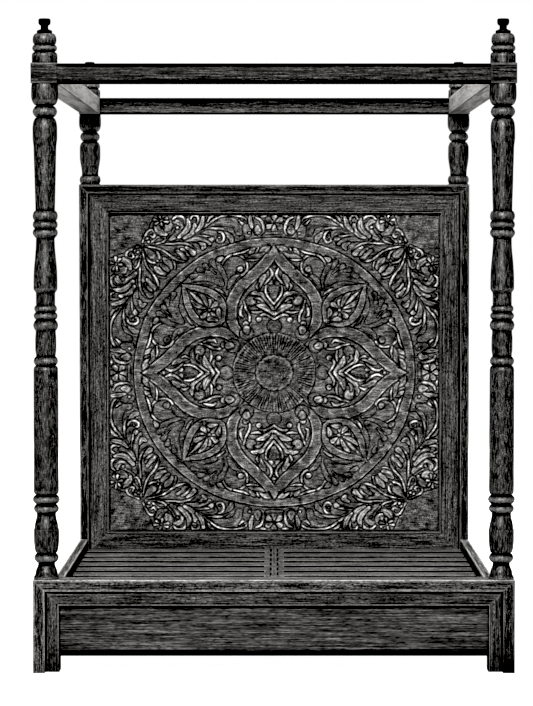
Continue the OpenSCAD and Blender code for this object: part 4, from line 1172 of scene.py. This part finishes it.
def carved_grid(pitch):
    """Height of the carving, 0 at the ground and 1 at the highest faces, on a regular grid of the field."""
    nx, nz = int(round(2 * FIELD_X / pitch)) + 1, int(round((FIELD_TOP - FIELD_LOW) / pitch)) + 1
    xs, zs = np.linspace(-FIELD_X, FIELD_X, nx), np.linspace(FIELD_LOW, FIELD_TOP, nz)
    u, v = np.meshgrid(xs / FIELD_X, (zs - FIELD_MID) / FIELD_HALF)
    flat = np.column_stack([u.ravel(), v.ravel(), np.zeros(u.size)])
    u = u + 0.0030 * ripple(flat, 0.30, 5).reshape(u.shape)
    v = v + 0.0030 * ripple(flat, 0.30, 6).reshape(v.shape)
    u, v = np.abs(u), np.abs(v)
    height = between(eighth(), np.minimum(u, v) * CELLS, np.maximum(u, v) * CELLS)
    tooling = 0.6 * lattice(height.shape, 0.011 / pitch, 1) + 0.4 * lattice(height.shape, 0.006 / pitch, 2)
    height = height * (0.92 + 0.08 * lattice(height.shape, 0.05 / pitch, 3)) - 0.09 * tooling + 0.03
    fade = 0.0035
    edge_x = unit((FIELD_X - np.abs(xs)) / fade - 1.6)
    edge_z = unit((FIELD_HALF - np.abs(zs - FIELD_MID)) / fade - 1.6)
    height = unit(height) * np.minimum(edge_x[None, :], edge_z[:, None])
    return xs, zs, height


def thinned(co, faces, share):
    """The same surface with fewer triangles, as arrays."""
    mesh = bpy.data.meshes.new("carving_grid")
    mesh.from_pydata(co.tolist(), [], faces.tolist())
    obj = bpy.data.objects.new("carving_grid", mesh)
    bpy.context.scene.collection.objects.link(obj)
    fewer = obj.modifiers.new("fewer", "DECIMATE")
    fewer.ratio = share
    result = obj.evaluated_get(bpy.context.evaluated_depsgraph_get()).to_mesh()
    out = np.zeros(len(result.vertices) * 3, np.float32)
    result.vertices.foreach_get("co", out)
    polygons = [tuple(p.vertices) for p in result.polygons]
    obj.evaluated_get(bpy.context.evaluated_depsgraph_get()).to_mesh_clear()
    bpy.data.objects.remove(obj)
    bpy.data.meshes.remove(mesh)
    return out.reshape(-1, 3).astype(float), polygons


def carved_panel():
    """The carved board, and the plain boards and edges that hold it."""
    pitch = 0.0026
    xs, zs, height = carved_grid(pitch)
    nx, nz = len(xs), len(zs)
    depth = GROUND_Y - RELIEF * height
    gx, gz = np.meshgrid(xs, zs)
    co = np.column_stack([gx.ravel(), depth.ravel(), gz.ravel()])
    index = np.arange(nx * nz).reshape(nz, nx)
    faces = np.stack([index[:-1, :-1], index[:-1, 1:], index[1:, 1:], index[1:, :-1]], -1).reshape(-1, 4)
    triangles = 2 * len(faces)
    co, polygons = thinned(co, faces, min(1.0, MOST_TRIANGLES / triangles))

    step = (xs[1] - xs[0]) / MM
    near = height - blur(height, max(1, round(5 / step)))
    cloudy = lattice(height.shape, 0.007 / pitch, 7) + lattice(height.shape, 0.018 / pitch, 8) - 1
    high = unit((height - 0.80) / 0.12)
    # the crests are brightened, as rubbed wood and as painted highlight
    wear = (np.clip(3.2 * near - 0.10, 0, 0.74) + 0.10 * high) * unit(0.60 + 1.2 * cloudy)
    wear = unit(wear * unit(height * 1.6 - 0.4) * (1 + 1.2 * hump(height - 0.70, 0.04)))
    # dirt and painted shade in the cuts and on the low ground
    dirt_and_shade = unit((0.27 - height) / 0.24) * unit(0.30 - 5 * near)
    # random cloudy stain, painted light on the highest faces, and darker corner flats and bands
    tone = (0.80 * cloudy - 0.07 + 0.50 * unit((height - 0.74) / 0.14) - 0.30 * hump(height - 0.50, 0.05)
            - 0.14 * hump(height - 0.70, 0.03))
    part = Part()
    column, row = (co[:, 0] - xs[0]) / (xs[1] - xs[0]), (co[:, 2] - zs[0]) / (zs[1] - zs[0])
    start = part.vertices(co, *(between(values, column, row) for values in (wear, dirt_and_shade, tone)))
    for polygon in polygons:
        part.face([start + k for k in polygon])
    # sides and the glued boards behind
    block(part, (-FIELD_X, GROUND_Y + 0.0004, FIELD_LOW), (FIELD_X, GROUND_Y + 0.006, FIELD_TOP), "X",
          0.4, 1.0)
    low, high = HEAD_RAIL_TOP, HEAD_H - HEAD_BAND
    boards = 8
    for i in range(boards):
        z0, z1 = (low + (high - low) * k / boards for k in (i, i + 1))
        rows = rectangle(GROUND_Y + 0.003, PANEL_BACK_Y, z0, z1, 1.2, 2.0)
        rows[:, 2:] = rows[:, :1] * 0 + [0, 0.9] * (rows[:, 2:3] > 0)
        bar(part, rows, -INNER_X, INNER_X, "X", end=0.4, end_wear=0, tone=lambda co: -0.5)
    for x0, x1, z0, z1 in ((-INNER_X, -FIELD_X, low, high), (FIELD_X, INNER_X, low, high),
                           (-FIELD_X, FIELD_X, low, FIELD_LOW), (-FIELD_X, FIELD_X, FIELD_TOP, high)):
        block(part, (x0, RIM_Y, z0), (x1, GROUND_Y + 0.004, z1), "X", 0.5, 1.0)
    part.build("carved_panel", "carved", sharp=60)


def carved_rosette():
    """The round boss in the middle: a dished disc with a scalloped rim, and uneven knife lines round it."""
    lines, samples = 80, 8
    count = lines * samples
    a = np.arange(count) * 2 * math.pi / count
    uneven = np.random.default_rng(11)
    depth = uneven.uniform(0.25, 1.0, lines)
    start = uneven.uniform(0.112, 0.165, lines)
    drift = uneven.uniform(-0.9, 0.9, lines)
    which = (np.arange(count) // samples) % lines
    beside = np.arange(count) % samples - samples / 2 - drift[which]
    scallop = 0.108 - 0.006 * np.abs(np.sin(a * 10))
    part = Part()
    rings = []
    for r in np.concatenate([[0.006], np.arange(0.014, 0.244, 0.0055), [0.244, 0.2465, 0.249, 0.2495]]):
        line = depth[which] * hump(beside, 1.1) * (r > start[which]) * (r < 0.243)
        rim = hump(r - scallop, 0.006)
        fall = hump(r - scallop - 0.010, 0.005)
        edge = unit((0.2494 - r) / 0.004) ** 0.5
        height = (0.60 + 0.06 * (r > 0.12) + 0.12 * rim - 0.16 * fall - 0.30 * line) * edge
        co = np.column_stack([r * np.cos(a) * FIELD_X, GROUND_Y - RELIEF * height,
                              FIELD_MID + r * np.sin(a) * FIELD_HALF])
        cloudy = 0.5 * ripple(co, 0.030, 71) + 0.5 * ripple(co, 0.012, 72)
        # the knife lines and the drop outside the scalloped rim are darkened with dirt and painted shade; the
        # dished middle is set darker
        wear = unit(0.34 * rim + 0.25 * (0.236 < r < 0.244) + 0.30 * cloudy * (r > 0.12) - 0.3 * line)
        tone = 0.45 * cloudy - 0.30 - 0.12 * (r < 0.095)
        rings.append(part.vertices(co, wear, unit(2.4 * line + 0.9 * fall), tone))
    part.skin(rings, count, True)
    part.end(rings[0], count)
    part.build("carved_panel", "carved", sharp=60, name="carved_rosette_wood")


# ---------------------------------------------------------------- the bed

LOOK = {
    "leg": wood("leg_black_wood", "Z", dark=0.002, mid=0.020, pale=0.12, gloss=0.08, run=0.4),
    "post": wood("post_black_wood", "Z", dark=0.002, mid=0.008, pale=0.075, worn=0.25, streak=1.3, gloss=0.34,
                 run=0.20, speck=1.1, polish=0.10, even=0.5),
    "post_back": wood("back_post_black_wood", "Z", dark=0.005, mid=0.026, pale=0.17, worn=0.32, gloss=0.36,
                      run=0.25, speck=1.1, polish=0.10, even=0.3),
    "cap": wood("cap_charcoal_wood", "X", dark=0.010, mid=0.030, pale=0.11, worn=0.28),
    "foot_moulding_x": wood("foot_moulding_wood_x", "X", dark=0.004, mid=0.016, pale=0.07, worn=0.17),
    "foot_moulding_z": wood("foot_moulding_wood_z", "Z", dark=0.007, mid=0.038, pale=0.10, worn=0.17),
    "head_cap": wood("head_cap_black_wood", "X", dark=0.002, mid=0.012, pale=0.07, worn=0.20, gloss=0.08),
    "moulding_x": wood("moulding_charcoal_wood_x", "X", dark=0.010, mid=0.049, pale=0.15),
    "moulding_z": wood("moulding_charcoal_wood_z", "Z", dark=0.011, mid=0.056, pale=0.15),
    "panel_x": wood("panel_charcoal_wood", "X", dark=0.016, mid=0.040, pale=0.11, run=2.6, speck=0.65,
                    fine=0.7, even=0.25),
    "rail_x": wood("rail_charcoal_wood", "X", dark=0.005, mid=0.03, pale=0.11),
    "side_rail": wood("side_rail_charcoal_wood", "Y", dark=0.012, mid=0.060, pale=0.19, worn=0.42),
    "canopy_front": wood("canopy_charcoal_wood", "X", dark=0.002, mid=0.007, pale=0.065, worn=0.11),
    "canopy_back": wood("canopy_back_wood", "X", dark=0.006, mid=0.032, pale=0.24, worn=0.20, gloss=0.12),
    # its paler second colour is painted reflection on the side rails' inner faces and undersides
    "canopy_side": wood("canopy_side_wood", "Y", dark=0.010, mid=0.050, pale=0.14, painted_sheen=0.58, worn=0.6,
                        gloss=0.15),
    "slat_x": wood("slat_grey_wood", "X", dark=0.035, mid=0.13, pale=0.34, worn=0.36),
    "slat_y": wood("beam_grey_wood", "Y", dark=0.03, mid=0.095, pale=0.26, worn=0.34, run=0.3),
    "slat_z": wood("block_grey_wood", "Z", dark=0.02, mid=0.09, pale=0.26, worn=0.32),
    "carved": wood("carved_dark_wood", "X", dark=0.042, mid=0.128, pale=0.28, worn=0.95, streak=0.7,
                   bump=0.30, run=0.25),
    "steel": metal("plated_steel"),
}

studio()
footboard()
headboard_frame()
carved_panel()
carved_rosette()
posts()
canopy()
base()
fittings()
